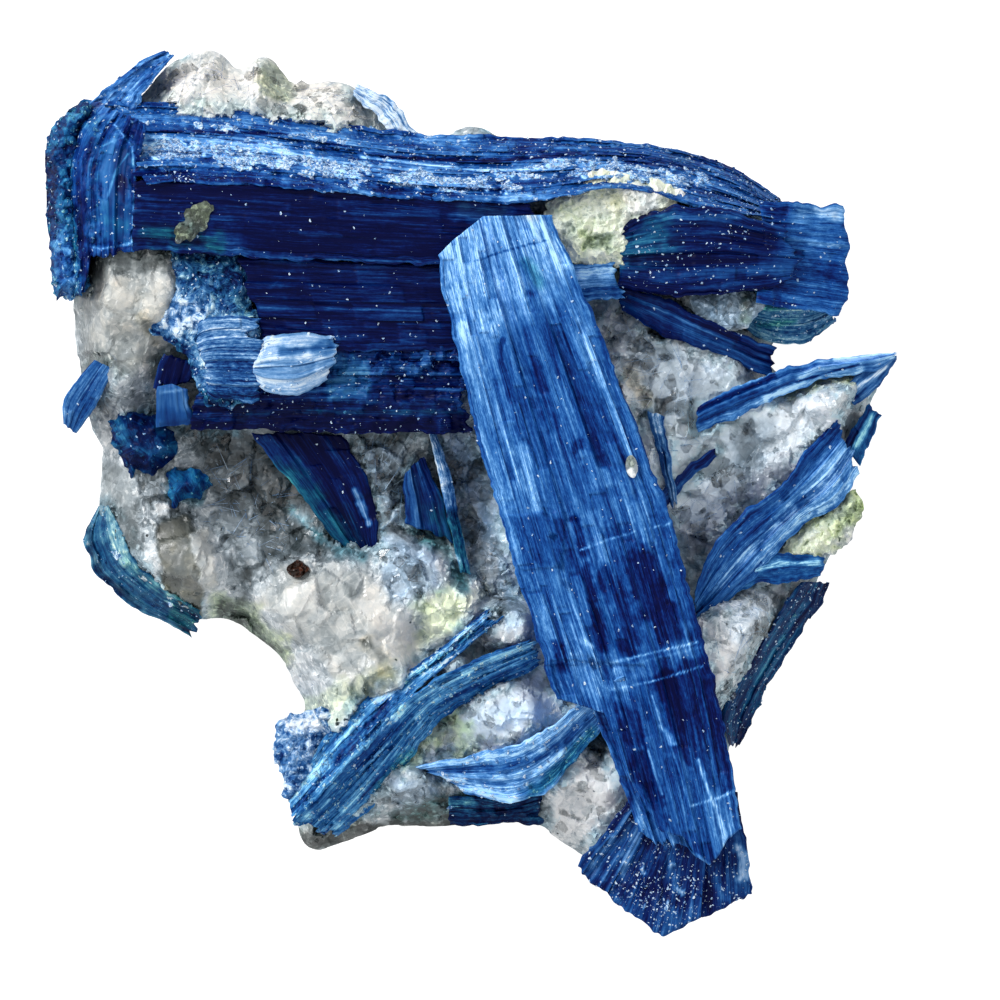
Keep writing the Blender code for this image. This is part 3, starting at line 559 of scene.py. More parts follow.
def blade_surface(seed, layers, u, v, s, share, level, number, lath_tone, length, width, relief,
                  chips, blocks, sink):
    """How far the top rises over the blade's plain slope. It repaints the layers on the way."""
    # Chips: here and there a thin lath lost its top layer over part of its length.
    lost = noise(seed + 2, u / 5.0 + 40.0 * number, number * 60.0)
    worn = noise(seed + 3, u / 1.6 + 70.0 * number, number * 90.0)
    chip = chips * (smooth_step((lost - 0.15) / 0.02) + 0.5 * smooth_step((worn - 0.45) / 0.03))
    streak = noise(seed + 4, u / 5.0, v / 0.35) + 0.8 * noise(seed + 5, u / 2.0, v / 0.2)
    swell = noise(seed + 6, u / 9.0, v / 2.2)
    bent = v + 0.3 * noise(seed + 15, u / 0.8, v / 0.8)
    broken, block, edge = grains(seed + 7, u / (1.3 * blocks), bent / blocks, 1.4)
    fine_broken, fine_block, _ = grains(seed + 8, u / 0.5, bent / 0.4, 1.6)
    rough = layers["rough"]
    rise = level + relief * (streak + 1.4 * swell) - chip + layers["rise"]
    rise = rise + rough * (0.75 * blocks * block + 0.22 * fine_block)
    # Crust: a thin skin of tiny pale crumbs, in patches that are longer along the blade.
    crumb, crumb_height, crumb_edge = grains(seed + 16, u / 0.55, bent / 0.42, 1.2)
    patch = noise(seed + 17, u / 3.0, v / 0.5) + 0.5 * noise(seed + 18, u / 0.8, v / 0.3)
    patch = smooth_step((patch + 2.6 * layers["crumbs"] - 1.2) / 0.3) * (layers["crumbs"] > 0.02)
    rise = rise + patch * (0.12 + 0.20 * crumb_height)
    rim = np.minimum(np.minimum(s, 1.0 - s) * length, np.minimum(share, 1.0 - share) * width)
    rise = rise - RIM_DROP * np.clip(1.0 - rim / RIM_WIDTH, 0.0, 1.0) ** 2
    rise = rise - sink[0] * smooth_step(1.0 - s * length / SINK_RUN)
    rise = rise - sink[1] * smooth_step(1.0 - (1.0 - s) * length / SINK_RUN)

    tint = layers["tone"] + 0.07 * lath_tone + 0.09 * streak - 0.10 * chip / max(chips, 0.01)
    grainy = 0.45 * (broken - 0.5) + 0.25 * (fine_broken - 0.5)
    tint = tint + rough * (grainy - 0.10 * smooth_step(1.0 - edge / 0.1))
    crumb = 0.86 + 0.34 * (crumb - 0.5) - 0.30 * smooth_step(1.0 - crumb_edge / 0.12)
    layers["tone"] = np.clip(tint + patch * (crumb - tint), 0.0, 1.0)
    layers["frost"] = np.maximum(layers["frost"], 0.9 * patch)
    layers["calm"] = np.maximum(layers["calm"], 0.8 * patch)
    layers["crumbs"] = patch
    return rise


def blade(name, slot, left, right, top, floor, laths=4, step=0.6, ragged=0.0, start=WHOLE_START,
          end=WHOLE_END, profile=EVEN_SLOPE, tone=0.4, frost=0.3, teal=0.0, relief=0.07,
          chips=0.18, fray=0.25, crumbly=0.0, wobble=1.0, sink=(0.0, 0.0), blocks=0.9, grit=0.0,
          flecks=0.15, stands=True, strokes=""):
    """One kyanite blade between two sides drawn on the sheet, replacing the CAD node of its name.
    Its top gives the heights at its left and right side, station by station."""
    seed = sum(map(ord, name))
    sides = [rounded(pairs(side)) for side in (left, right)]
    ends = [along(side, np.linspace(0.0, 1.0, 30)) for side in sides]
    length = sum(np.linalg.norm(np.diff(ends[0] / 2 + ends[1] / 2, axis=0), axis=1))
    width = np.linalg.norm(ends[0] - ends[1], axis=1).mean()
    share, level, short_start, short_end, number, lath_tone = columns_of(
        name, width, laths, step, ragged / length, 0.6 * fray / length
    )
    first = np.interp(share, *zip(*pairs(start))) + short_start
    last = np.interp(share, *zip(*pairs(end))) - short_end
    splinter = noise(seed + 1, share * width / 0.35, share * 0.0)
    splinter = fray * (splinter + 1.6 * noise(seed + 12, share * width / 1.6, share * 0.0)) / length
    rows = max(6, math.ceil(length / ROW_GAP))
    s = np.linspace(0.0, 1.0, rows)[:, None]
    t = (first + 0.5 * splinter) + (last - first + splinter) * s + GROWN * (2.0 * s - 1.0) / length
    u, v = t * length, np.broadcast_to(share * width, t.shape)
    worn = [
        0.20 * noise(seed + k, u / 1.5, u * 0.0) + 0.10 * noise(seed + k, u / 0.5, u * 0.0)
        for k in (13, 14)
    ]
    near_side, far_side = np.exp(-share * width / 0.7), np.exp((share - 1.0) * width / 0.7)
    across = share + (wobble * worn[0] - GROWN) * near_side / width
    across = across + (wobble * worn[1] + GROWN) * far_side / width

    def place(t, across):
        left, right = along(sides[0], t), along(sides[1], t)
        return left + (right - left) * across[..., None]

    xy = place(t, across)
    stations = np.array(pairs(top))
    near, far = (np.interp(t, np.linspace(0.0, 1.0, len(stations)), stations[:, n]) for n in (0, 1))
    base = near + (far - near) * np.interp(across, *zip(*pairs(profile)))
    flat, shape = xy.reshape(-1, 2), t.shape
    given = dict(tone=tone, frost=frost, teal=teal, rough=crumbly, grit=grit, flecks=flecks)
    layers = {
        layer: np.full(len(flat), float(given.get(layer, 0.0))) for layer in (*LAYERS, "rise", "rough")
    }
    paint_on(layers, flat, strokes)
    grid = {key: value.reshape(shape) for key, value in layers.items()}
    height = base + blade_surface(seed, grid, u, v, s, share, level, number, lath_tone, length,
                                  width, relief, chips, blocks, sink)
    grain = np.stack([u, v, number * 9.0 + np.zeros(shape)], -1)

    # Walls: a ring of border points, lowered course by course to the flat underside.
    n, m = shape
    border = [(i, 0) for i in range(n)] + [(n - 1, j) for j in range(1, m)]
    border += [(i, m - 1) for i in range(n - 2, -1, -1)] + [(0, j) for j in range(m - 2, 0, -1)]
    bi, bj = np.array(border).T
    lean = UNDERCUT * (base[bi, bj] - floor)
    shrink_t, shrink_across = (np.minimum(lean / size, MOST_UNDERCUT) for size in (length, width))
    rt, ra, rz = t[bi, bj], across[bi, bj], height[bi, bj]
    parts, grain_parts = [np.column_stack((flat, height.ravel()))], [grain.reshape(-1, 3)]
    layer_parts = {key: [grid[key].ravel()] for key in LAYERS}
    run = np.concatenate(([0.0], np.cumsum(np.linalg.norm(np.diff(xy[bi, bj], axis=0), axis=1))))
    for depth in COURSES:
        down = depth * (rz - floor)
        layer_edge = noise(seed + 9, down / 0.45, run / 12.0)
        layer_edge += 0.6 * noise(seed + 10, down / 0.2, run / 6.0)
        inset = 0.10 * (1.0 + layer_edge) * min(1.0, depth / 0.03) * (depth < 0.9)
        low_t = rt + (1.0 - 2.0 * rt) * (shrink_t * depth + inset / length)
        low_a = ra + (1.0 - 2.0 * ra) * (shrink_across * depth + inset / width)
        parts.append(np.column_stack((place(low_t, low_a), rz - down)))
        sideways = np.where(bj == 0, -down, np.where(bj == m - 1, down, 0.0))
        onwards = np.where(bi == 0, -down, np.where(bi == n - 1, down, 0.0))
        grain_parts.append(np.column_stack((u[bi, bj] + onwards, v[bi, bj] + sideways, 4.0 + 0.0 * down)))
        for key in LAYERS:
            layer_parts[key].append(grid[key][bi, bj])
        # Painted shade: the walls are painted darker than the top they hang from, a little unevenly from
        # layer to layer.
        shade = 0.12 * min(1.0, depth / 0.06) - 0.06 * layer_edge
        layer_parts["tone"][-1] = np.clip(layer_parts["tone"][-1] - shade, 0.0, 1.0)
    index = np.arange(n * m).reshape(n, m)
    faces = np.stack([index[:-1, :-1], index[:-1, 1:], index[1:, 1:], index[1:, :-1]], -1)
    faces = faces.reshape(-1, 4).tolist()
    rings = [index[bi, bj]] + [n * m + k * len(bi) + np.arange(len(bi)) for k in range(len(COURSES))]
    points = np.concatenate(parts)
    corner = [points[q][:2] for q in faces[len(faces) // 2]]
    turn = sum(p[0] * q[1] - q[0] * p[1] for p, q in zip(corner, corner[1:] + corner[:1]))
    faces += walls_between(rings) + [rings[-1][::-1].tolist()]
    if turn > 0:  # y runs down the sheet, so a face that turns this way looks down
        faces = [face[::-1] for face in faces]
    layers = {key: np.concatenate(value) for key, value in layer_parts.items()}
    grain = np.concatenate(grain_parts).astype(np.float32)
    piece = mesh_object(name + "_crystal", points, faces, grain, layers, KYANITE[slot])
    stand_for(piece, slot, *([name] if stands else []))
    surfaces.append((piece, n * m))
    grounds.append(("blade", points[: n * m], faces[: (n - 1) * (m - 1)], layers))

# %% [markdown]
# ## The great blade
#
# The largest blade lies across all the others. Its upper end is frosted to a pale lilac blue, its
# middle is bright blue with darker stripes, and towards the lower right it is a clear deep blue.
# Fine pale lines cross it where it has cracked, and thin plates have come away along its left side.

# %% The great blade
blade("great_blade", "kyanite_royal", "43.4,21.6 44.6,30 46.8,39 49.6,50 52.6,60 55.6,69 61.6,87",
      "54.9,21.4 58,29 62,39 66.3,50.4 69,60 71.4,68.5 74.4,86",
      top="33.2,33.4 32,32.2 30.6,31 28.8,29.2", floor=17, laths=8, step=0.7,
      start="0,0.062 0.12,0.042 0.42,0.006 1,0.006",
      end="0,0.73 0.26,0.76 0.3,0.86 0.42,0.945 0.58,0.955 0.64,0.985 0.73,1 0.82,0.985 0.9,0.965 1,0.95",
      tone=0.53, frost=0.35, fray=0.03, strokes="""
0 2 tone=0.77: 43,21 55.6,20.6 57.6,27 55.2,31 50,33 49.4,37.5 51,44 47.6,42 44.4,32
0 2.5 frost=0.85: 43,21 55.6,20.6 57.4,26 54,31 50,33 47.4,36 44.4,32
0 2 calm=0.3: 43,21 56,20.6 58,28 52,34 46,38
1.3 1 tone=0.6: 48,30.2 51.2,30.6
0.9 0.8 tone=0.62 teal=0.4: 52.6,26.2 54,28.4
0.8 0.8 warm=0.5: 51.6,21.6 53.4,21.8
0.8 tone=0.43: 53,29.5 55,34 57.4,40 60,47
1.4 tone=0.37: 53.6,37 55.2,43
0.35 tone=0.33: 50.3,34 50,36.2 51.2,41 52,44
1.6 tone=0.55: 58.6,30 61,36 64,44
1 tone=0.69: 57.6,32 60,38
2.6 tone=0.65: 47.4,42 50,50
1.5 tone=0.71: 52,45 53.6,50.6
0.9 tone=0.31: 57.6,44.4 58.6,46.8
1.6 tone=0.69: 58.6,46 60.4,48
0 0.3 tone=0.39: 51,51.8 54.2,51.2 56.4,52 56,56.4 52.6,56.6
0 0.5 tone=0.67: 58.2,50.6 60,51 61.2,54.6 60.4,58.2 58.8,54.4
0 1 tone=0.61: 53.4,58 57,57.4 58.6,62 57.6,65.6 54.6,63.6
0.8 tone=0.21: 57.4,52 58.6,56.4 59.4,61 60.4,65
0 1 tone=0.17: 62.6,54.6 64.8,54 67,60 68.6,63.4 66.4,64.6 63.6,61
2.2 tone=0.29: 60.6,58 62.6,62 63,65
2 tone=0.45: 66.2,52 68.4,58 70.4,64
0 0.5 tone=0.15: 55.2,64 58,65.6 58.6,67.4 56,67
0 0.8 tone=0.19: 64.8,67.6 70.6,65.8 72,69.6 73.4,76 71,79.6 67.4,75
0 1.2 tone=0.33: 67.6,72 70,79.6 73.8,79 73.4,74
0 1 tone=0.68 frost=0.6: 56.6,65 61.4,65.2 64.6,67.4 62.6,69.6 58,69.6
1.6 tone=0.49: 65.2,70 67,75 68.6,80
1.8 tone=0.23: 62.6,71 64.4,77 66.4,82.6
3 tone=0.47: 69.6,81 71.6,86
0.16 0.12 tone=0.85: 58,55 61,53.9 64,53 67,52.4
0.22 0.12 tone=0.93: 60.6,66.4 65,65.3 69.8,64.2
0.3 0.2 tone=0.69: 61.2,67 65.2,65.9 69.9,64.7
0.18 0.12 tone=0.83: 61,69 65.6,68 70.2,66.6
0.22 0.12 tone=0.87: 69,80.6 72,79.7 74,78.8
0.14 0.1 tone=0.43: 47.4,26.2 50.4,25.2 55,24
0.22 0.12 tone=0.76: 65.2,69.6 66.2,72.6 67.6,76 69,80.6
0.5 0.3 tone=0.9: 66,72.6 66.6,73.2 67.3,74.4
0.2 tone=0.83: 64.8,75 66.2,79.4
0.35 0.2 tone=0.83: 69.8,76 70.8,79 72.4,83 72.6,85.6 71.2,86.8 69.6,85.4
0.5 0.3 tone=0.92: 56.8,62.4 57.6,63.6 59.2,64.6
1.1 0.8 tone=0.66: 55.6,61 57.6,63.4
0 2 frost=0.2: 60,56 66,53 71,66 74.4,80 66,82
0 rise=-0.35: 64.6,66.6 66,70 68.8,80.8 69.6,88 60,88 55,66
0 rise=-0.25: 43,66 58.6,66.6 66,88 50,88
0 0.12 rise=0.2: 50.6,51.6 56.4,51 56.2,56.6 52,57
""")
blade("lower_plate", "kyanite_royal", "57.2,66.6 59.6,71.4 61.8,77 64.4,84.4",
      "63.4,66.6 66,73 68.6,80.6 70.2,85.6", top="28.2,28.6 26.6,27.4 25.4,26.2", floor=18, laths=4,
      step=0.5, ragged=1.2, stands=False, end="0,0.95 0.3,1 0.6,0.98 1,1.02", tone=0.54, frost=0.5,
      chips=0.25, crumbly=0.2, fray=0.2, strokes="""
2.2 1 tone=0.78 frost=0.8: 58.2,67 60,69.8
1.5 0.7 tone=0.42: 60.6,71.4 62.6,77 64.2,82
0.25 0.25 tone=0.74 frost=0.6: 61.6,69.4 63.6,74 65.4,80
1.2 0.7 tone=0.62: 64.2,70 66.4,75.4 67.6,80
2 1 tone=0.62: 64.6,80 66,84
0.6 0.5 tone=0.72: 63.6,80.6 65,83.8
""")

# %% [markdown]
# ## The dark sheaf
#
# Behind the great blade lies a sheaf of parallel blades, nearly black where they are thick. Its far
# edge is a steep ridge of many thin layers, sprinkled with white crumbs of quartz. The front edge
# drops steeply into the stone.

# %% The sheaf's long blades
blade("upper_blade", "kyanite_deep", "13.7,18.2 32,18.8 53,20.6", "13.6,24.8 32,26 53,26.4",
      top="30.2,29.6 30,29.4", floor=19, laths=4, step=0.35, tone=0.02, frost=0.05, chips=0.1, strokes="""
4 tone=0.16: 14,22 22,23
2 1.4 teal=1 tone=0.27: 15,23.6 18.5,23.4 21,24.4
0.8 tone=0.32: 17,24.6 24,25.2 30,25.8
0.16 0.12 tone=0.48: 22,25.5 33,26 42,26.2
2 tone=0.12: 36,21 44,21.6
1.8 1 tone=0.32: 46,21.4 51,21.8
1 0.8 warm=0.7: 45.4,20.6 50,21.2
0.5 tone=0.22: 30,23.4 34,23.6
""")
blade("layered_ridge", "kyanite_royal", "9.6,10 20,10.6 32,12.2 44,13.7 56,13.5 68,14.6 74.5,17 79.2,20.6",
      "13.6,18.2 22,18.2 32,18.8 44,19.9 54,20.2 62,18.2 70,20.6 77.6,21.8",
      top="21,30.6 21,30.6 20.5,30.2 18,27", floor=14, laths=14, step=0.9, ragged=1.6, tone=0.5,
      frost=0.35, relief=0.1, chips=0.35, crumbly=0.35, blocks=0.7, grit=0.22, flecks=1, strokes="""
1.6 tone=0.34: 12,17.6 22,17.6 34,18.4 46,19.2
2.4 tone=0.62: 12,11.4 24,12.4 36,14 46,15
0.8 tone=0.74: 12,13.6 24,14.2 34,16.4 44,17.4
0.6 tone=0.38: 20,15.8 32,17 42,18.4
1.4 tone=0.42: 52,14.6 62,15 70,17.4
0.8 tone=0.64: 52,16.2 60,16 68,18
0 0.4 tone=0.78: 49.6,19.6 54,19.6 55.6,20.6 51,21
1.4 1 tone=0.98: 14,14.6 18,15.2 21,14.8
1.1 1.2 tone=0.98: 21,14.2 26,14.4 30,16 35,17.4
0.9 1.2 tone=0.88: 37,17 42,18.2 47,18.6
0.22 tone=0.16: 16,13 28,13.2 36,14.8
0.2 tone=0.14: 24,15.2 34,16.8 44,18
0.3 0.2 tone=0.18: 38,15.6 50,16 58,15.2
0.35 0.25 tone=0.2: 14,18 24,17.9 40,19.2
0.2 tone=0.9: 36,15.6 48,17 56,16.8
0.2 tone=0.92: 58,16.6 66,17.2 72,19.2
1 0.8 warm=0.35: 67,15.2 69,16
2 1 crumbs=1: 14,14.6 21,15 30,16.2 36,17.6
1.8 1.4 crumbs=0.65: 36,16.8 48,18.6 56,16.4 72,18.4
3 2 crumbs=0.3: 10,12 40,14.6
""")
blade("second_blade", "kyanite_deep", "23.6,26 34,26.2 46.5,26.6", "26.4,34.4 34,34.8 47,34.8",
      top="28.8,27.6 28.6,27.4", floor=18, laths=4, step=0.5, ragged=0.6, tone=0.15, frost=0.08,
      chips=0.12, strokes="""
1.4 tone=0.24: 28,27.6 38,28
1.6 tone=0.09: 32,29 46,29.4
0.16 tone=0.46: 26,30.8 34,30.9 44,31.2
0.18 tone=0.3: 27,28.8 30.5,25.7
1 tone=0.28: 34,33.6 46,33.8
0.4 tone=0.36: 40,32.4 46,32.6
""")
# The near-black band along the front bar's lower, sloping edge is painted shade.
blade("front_bar", "kyanite_deep", "19.6,36.6 27,35 34,34.8 46.4,34.8", "16.4,42.6 24,42.8 34,43 47.4,43.2",
      top="26.6,24.4 27.2,25 27.4,25.4", floor=16.5, laths=5, step=0.6, ragged=0.5,
      start="0,0.02 0.5,0.06 1,0.09", profile="0,0 0.6,0.1 1,1", tone=0.2, frost=0.15, chips=0.25,
      crumbly=0.4, grit=0.1, flecks=0.5, strokes="""
2 tone=0.34 teal=0.6 grit=0.3: 19.4,37.6 22,38.6 24.4,41
2 1 tone=0.14: 22.6,39.8 30,41
0 0.7 tone=0.48 teal=0.2 calm=0.4: 32.6,35.6 37.2,35.4 37,39.6 33,40
2.4 1.2 tone=0.22 rough=0.8 grit=0.3: 38,36 46,36
0.5 0.4 tone=0.36: 38,38.6 46,39
1.6 0.8 tone=0.05 grit=0: 19,42.2 30,42.2 46.8,42.4
0.4 0.4 tone=0.32 teal=0.6: 24,41.2 46,41.2
""")

# %% [markdown]
# At its left end the sheaf is crumbled. Rough pale laths lie on it, and another sheaf crosses it
# nearly at a right angle along the edge of the stone.

# %% The sheaf's left end
blade("pale_lath", "kyanite_pale", "25.4,35.6 26.4,34 29,33.3 33.2,33.8",
      "25.2,37.8 26.6,39.2 30,39.6 33.4,37.4", top="28.4,28.8 28.8,29.2 28.2,28.4", floor=22.5,
      laths=3, step=0.5, ragged=0.5, profile="0,-0.5 0.25,0.3 0.75,0.6 1,-0.6", tone=0.88, frost=0.5,
      fray=0.3, chips=0.1, grit=0.12, strokes="""
0 0.4 calm=0.8: 25,32 34,32 34,40 25,40
1 0.5 tone=0.56: 28.4,35.2 32.8,34.8
0.7 0.5 tone=0.74: 26.6,36.2 33,36.4
0.6 0.5 tone=1: 26.2,38 29.4,38.9 33,37.2
0.5 0.4 tone=1 grit=0.6: 25.4,36.6 26,34.8 28,33.8
""")
# The crumbled blade is a lump of grains, made with the other lumps.
blade("striped_lath", "kyanite_pale", "18.6,33.6 20.4,32 23.4,31.7 26.8,32",
      "20,38.8 21.4,39.7 24,40 26.4,39.8", top="27.8,28.2 28.5,28.2", floor=25.5, laths=9, step=0.3,
      ragged=1, stands=False, start="0,0.12 0.3,0.02 0.7,0.1 1,0.16", tone=0.58, frost=0.4, chips=0.2,
      grit=0.05, fray=0.4, relief=0.04, strokes="""
1.2 0.7 tone=0.76: 20.6,32.6 25.6,32.6
1.2 0.7 tone=0.72: 20,34.6 21,38.6
2 1 tone=0.46: 22.4,37 26.4,37
0.8 0.5 tone=0.34 teal=0.4: 21.6,39.6 26,39.6
""")
blade("cross_sheaf", "kyanite_royal", "8.6,9.6 5.4,12 4,15.8 4.4,20 5,25 5.5,30.2",
      "14.4,12.4 13.8,15 13.5,18 13.4,21 13.2,24.6 12.9,30", top="19,28.4 18.5,29.6 18,29.4", floor=11,
      laths=5, step=0.5, ragged=0.3, profile="0,0 0.42,0.85 1,1",
      end="0,0.97 0.18,1 0.38,0.94 0.5,0.77 1,0.74", tone=0.38, frost=0.1, chips=0.15, crumbly=0.5,
      relief=0.05, grit=0.15, flecks=0.6, strokes="""
0 0.4 calm=0.5: 3,9 15,9 15,31 3,31
3.4 1 tone=0.34 teal=0.8 frost=0 rough=0.9 grit=0.35: 7,11 5.4,14 5.4,19 6.2,24 6.4,30
0.5 0.4 tone=0.16: 8,12 7.6,16 8,22 8.2,26
1.6 1 tone=0.42 teal=0.25: 9.4,12 9.4,17 9.4,24
0 0.6 tone=0.44 teal=0.3 calm=0.9 rough=0 grit=0: 10.4,14 13.2,15 13.2,24 10,24
0.9 0.6 tone=0.6 teal=0.1: 11.6,13.4 10.6,17 10.4,20
0.9 0.5 tone=0.18: 12.2,18 12.4,20
1.2 0.6 tone=0.54 teal=0.5: 10.6,22 12.4,22.6
0.2 0.12 tone=0.84 frost=0.8: 11.4,12.4 13.2,14.6 13.5,18 13.2,24.3
0.25 tone=0.76 frost=0.8: 8.4,24.5 10,24.9 13,24.4
0.18 0.12 tone=0.78 frost=0.8: 12.8,15.4 11.6,17 10.8,19.6
0.2 tone=0.72: 10.2,14.6 12.6,13.6
0 0.4 tone=0.44 rise=-0.3: 8.6,9.6 14.4,11.6 14.4,13 12,12.4 8,11.4
2.6 1 tone=0.52 teal=0.3 rough=1 grit=0.8: 6.6,26.4 7,30
""")
blade("back_left_blade", "kyanite_royal", "8.8,10.6 11.2,8.2 13.6,6.2 16.6,4.7",
      "12.8,11 14.2,8.8 15.6,7.1 17.2,5.3", top="20.2,20.8 20.2,21", floor=13, laths=4, step=0.5,
      ragged=0.5, tone=0.59, frost=0.5, crumbly=0.5, grit=0.3, fray=0.1, strokes="""
0.7 0.5 tone=0.43: 13.4,8.6 16,6
0.5 0.4 tone=0.75: 11.6,9.4 14,6.6
""")
blade("back_right_blade", "kyanite_pale", "35.6,8.3 38.6,9.5 41.6,13.2", "35.4,9.3 37.6,11 39.6,13.6",
      top="18.2,19 18.4,19.4", floor=13.5, laths=2, step=0.3, tone=0.93, frost=0.5, crumbly=0.4)

# %% [markdown]
# On the far side of the great blade the sheaf goes on. One blade there is nearly black and another
# bright blue with a greyish corner, and below them a shelf of thin blue-green layers shows.

# %% The sheaf's right end
blade("slant_blade", "kyanite_deep", "61.6,28.6 66,29.8 71,32.4 77.8,35",
      "62,30.7 66,33.2 71,34.9 77.2,37.4", top="26.2,25.6 26.4,25.4 24,23", floor=16, laths=3,
      step=0.4, ragged=0.4, tone=0.26, frost=0.3, crumbly=0.1, strokes="""
0.3 0.3 tone=0.56: 63,29.6 70,32.8 76.6,35.6
0.5 0.4 tone=0.42: 64,30.8 70,33.8 76,36.4
""")
blade("neck_blade", "kyanite_royal", "55,26.8 61.2,26.4", "56,30.2 61.6,29.8", top="27.6,27 27.6,27",
      floor=19, laths=3, step=0.4, tone=0.72, frost=0.4, strokes="""
0.8 0.5 tone=1: 56,27.4 61,27.2
0.8 0.5 tone=0.5: 57,29.4 61.4,29.2
""")
blade("right_dark_blade", "kyanite_deep", "61.9,22.8 66,20.9 72,20.9 77.4,22.6",
      "61.4,28.2 66,29.4 71,29.3 78,28.4", top="28,27.6 28.8,28 28.2,27.4", floor=17, laths=5,
      step=0.5, ragged=1.6, end="0,1.08 0.3,1.18 0.7,1.14 1,1.06", flecks=0.8, tone=0.17, frost=0.1,
      chips=0.2, strokes="""
0 1.6 tone=0.36: 76.4,21 80,22 80,28 77.4,28
3.6 1.6 tone=0.39: 62,25 66,24
4 2 teal=0.6: 62,25 66,24
1.2 0.8 tone=0.31: 66,27.4 76,27
2 1 tone=0.12: 68,23.4 77,24.4
0.4 0.4 tone=0.55: 66,21.6 74,21.8
""")
blade("right_pale_blade", "kyanite_royal", "77.8,20.4 85,20.8", "77,30.2 84.6,31.4", top="27,27.2 25,25",
      floor=12.5, laths=8, step=0.5, start="0,-0.25 0.3,-0.1 1,-0.16",
      end="0,0.88 0.2,0.95 0.35,1.01 0.5,0.96 0.62,1 0.85,0.99 1,0.88", tone=0.54, frost=0.35,
      fray=0.08, crumbly=0.12, flecks=0.4, strokes="""
0 1.2 tone=0.3: 76,21 78.4,21 79.6,26 78.6,31 76,31
0 0.6 tone=0.84 calm=0.5: 81.4,20.4 84.4,20.6 84.6,22 81.6,21.8
1.6 1 tone=0.66: 80,22.4 84.8,23.6
0.4 0.3 tone=0.72: 81,24.4 84.8,24.6
1.6 1 tone=0.36: 79,26.8 84.8,27.6
2 1.2 tone=0.48: 78.6,29.6 84.4,29.4
1 0.8 warm=0.3: 80,20.8 83.6,21.2
""")
blade("right_shelf", "kyanite_teal", "73.5,29 77,28 84.2,28", "73,32 77.6,34.2 81,34 83.8,32",
      top="25.2,24 25.4,22.6 24.6,21.4", floor=12.5, laths=6, step=0.6, ragged=1.2, tone=0.65,
      frost=0.35, teal=0.1, crumbly=0.35, chips=0.3, grit=0.25, relief=0.06, flecks=0.6, strokes="""
1.2 0.8 tone=0.7 teal=0.2: 75,29.6 77,30.4
0.4 0.3 tone=0.43 teal=0.9: 75,30.8 82,30.4
0.5 0.4 tone=0.47 teal=0.9: 76,32.4 81,32
2 1 tone=0.59 teal=0: 80,33 83,31
""")

# %% [markdown]
# ## Blades on the right
#
# Thin blades stick out of the quartz here: a long needle with a forked point, and a broad blade
# that splits into laths. Dark blades line the lower edge of the stone.

# %% Needle, broad blade and splinters
blade("needle_blade", "kyanite_royal", "69.3,41 77,37.6 81,36.3 90,35.2",
      "69.6,43 77,40.2 81,38 85.4,37.4 88,36.7 89.9,35.6", top="26.6,25.8 25.2,24.2 22.8,21.8",
      floor=18, laths=3, step=0.7, ragged=0.6, tone=0.6, frost=0.35, strokes="""
1 0.6 tone=0.6: 71,41 78,38.4 84,36.6
0.9 0.5 tone=1: 84,36.2 90,35.4
1.1 0.4 tone=1 frost=0.8 calm=0.5: 76,40 80.6,38 86,36.6
0.9 0.5 tone=0.66: 70,42.4 76,39.8
0.7 0.35 tone=0.34: 70,41.9 75.6,39.5 79.4,38
1 0.6 tone=0.86: 81,37.2 88,35.9
0.4 0.25 tone=0.12: 69.4,41.1 73,39.5 77.4,37.6
0.15 tone=0.2: 79.6,38.2 83,37.2 86,36.4
""")
blade("spear_blade", "kyanite_deep", "84.4,39.2 86.4,37.2 88,36 89.6,35.2", "85.6,40.2 87.9,38.5 90,35.7",
      top="22.2,21.6 22.2,21.8", floor=15, laths=2, step=0.4, tone=0.5, frost=0.4, strokes="""
0.3 0.2 tone=0.2: 85.6,39.8 88,37.8 89.6,36
0.4 0.3 tone=0.91: 85.4,39 89,36.6
""")
blade("broad_blade", "kyanite_royal", "69.3,60 70.4,56.4 73.2,52.2 78,49 80.4,45.8 83.8,42.2",
      "69.6,62.3 72.4,60.6 76.6,56.4 80,52.4 84.2,50.2 86.2,46.8",
      top="27,24.6 26.8,24 25.6,23 23.6,22.4", floor=15, laths=6, step=0.7, ragged=0.8, tone=0.61,
      frost=0.4, strokes="""
1.8 1 tone=0.45: 70.4,58.4 73,54.6 77.4,51
1.2 0.8 tone=0.45: 78,49.4 81.6,45.4 84,43
1 0.7 tone=0.73: 71.6,58.8 75,55 79,51
1.6 1 tone=0.84: 75,56 79,52.6 83,49.6 86,46.6
2.8 1.4 frost=0.8: 76,55 79,52 83,49 86,46.4
1.4 0.8 tone=0.79: 81,48.8 84.6,45
0.35 0.2 tone=0.27: 80.6,45.6 84.2,42
""")
blade("edge_splinter", "kyanite_royal", "84.9,44.6 85.8,42.6 87.3,40.4", "86,46.2 86.9,44.2 88.2,41.6",
      top="21,20.2 20.4,19.8", floor=13, laths=1, step=0, tone=0.44, frost=0.5, teal=0.3, strokes="""
0.5 0.4 tone=0.9: 85.8,44.6 87.4,41.6
""")
blade("wedge_blade", "kyanite_royal", "72.6,58 75.4,56.4 78.4,55.6 82.6,55.6",
      "73.4,59.2 76,58 78.6,58 82.4,57.3", top="24.4,23.6 22.2,21.6", floor=14, laths=3, step=0.4,
      tone=0.5, frost=0.4, teal=0.15, strokes="""
0.6 0.4 tone=0.86 frost=0.7: 74.4,57.4 78,56.4 82,56.2
0.5 0.3 tone=0.34: 75,58.2 78.6,57.6 82,57
""")
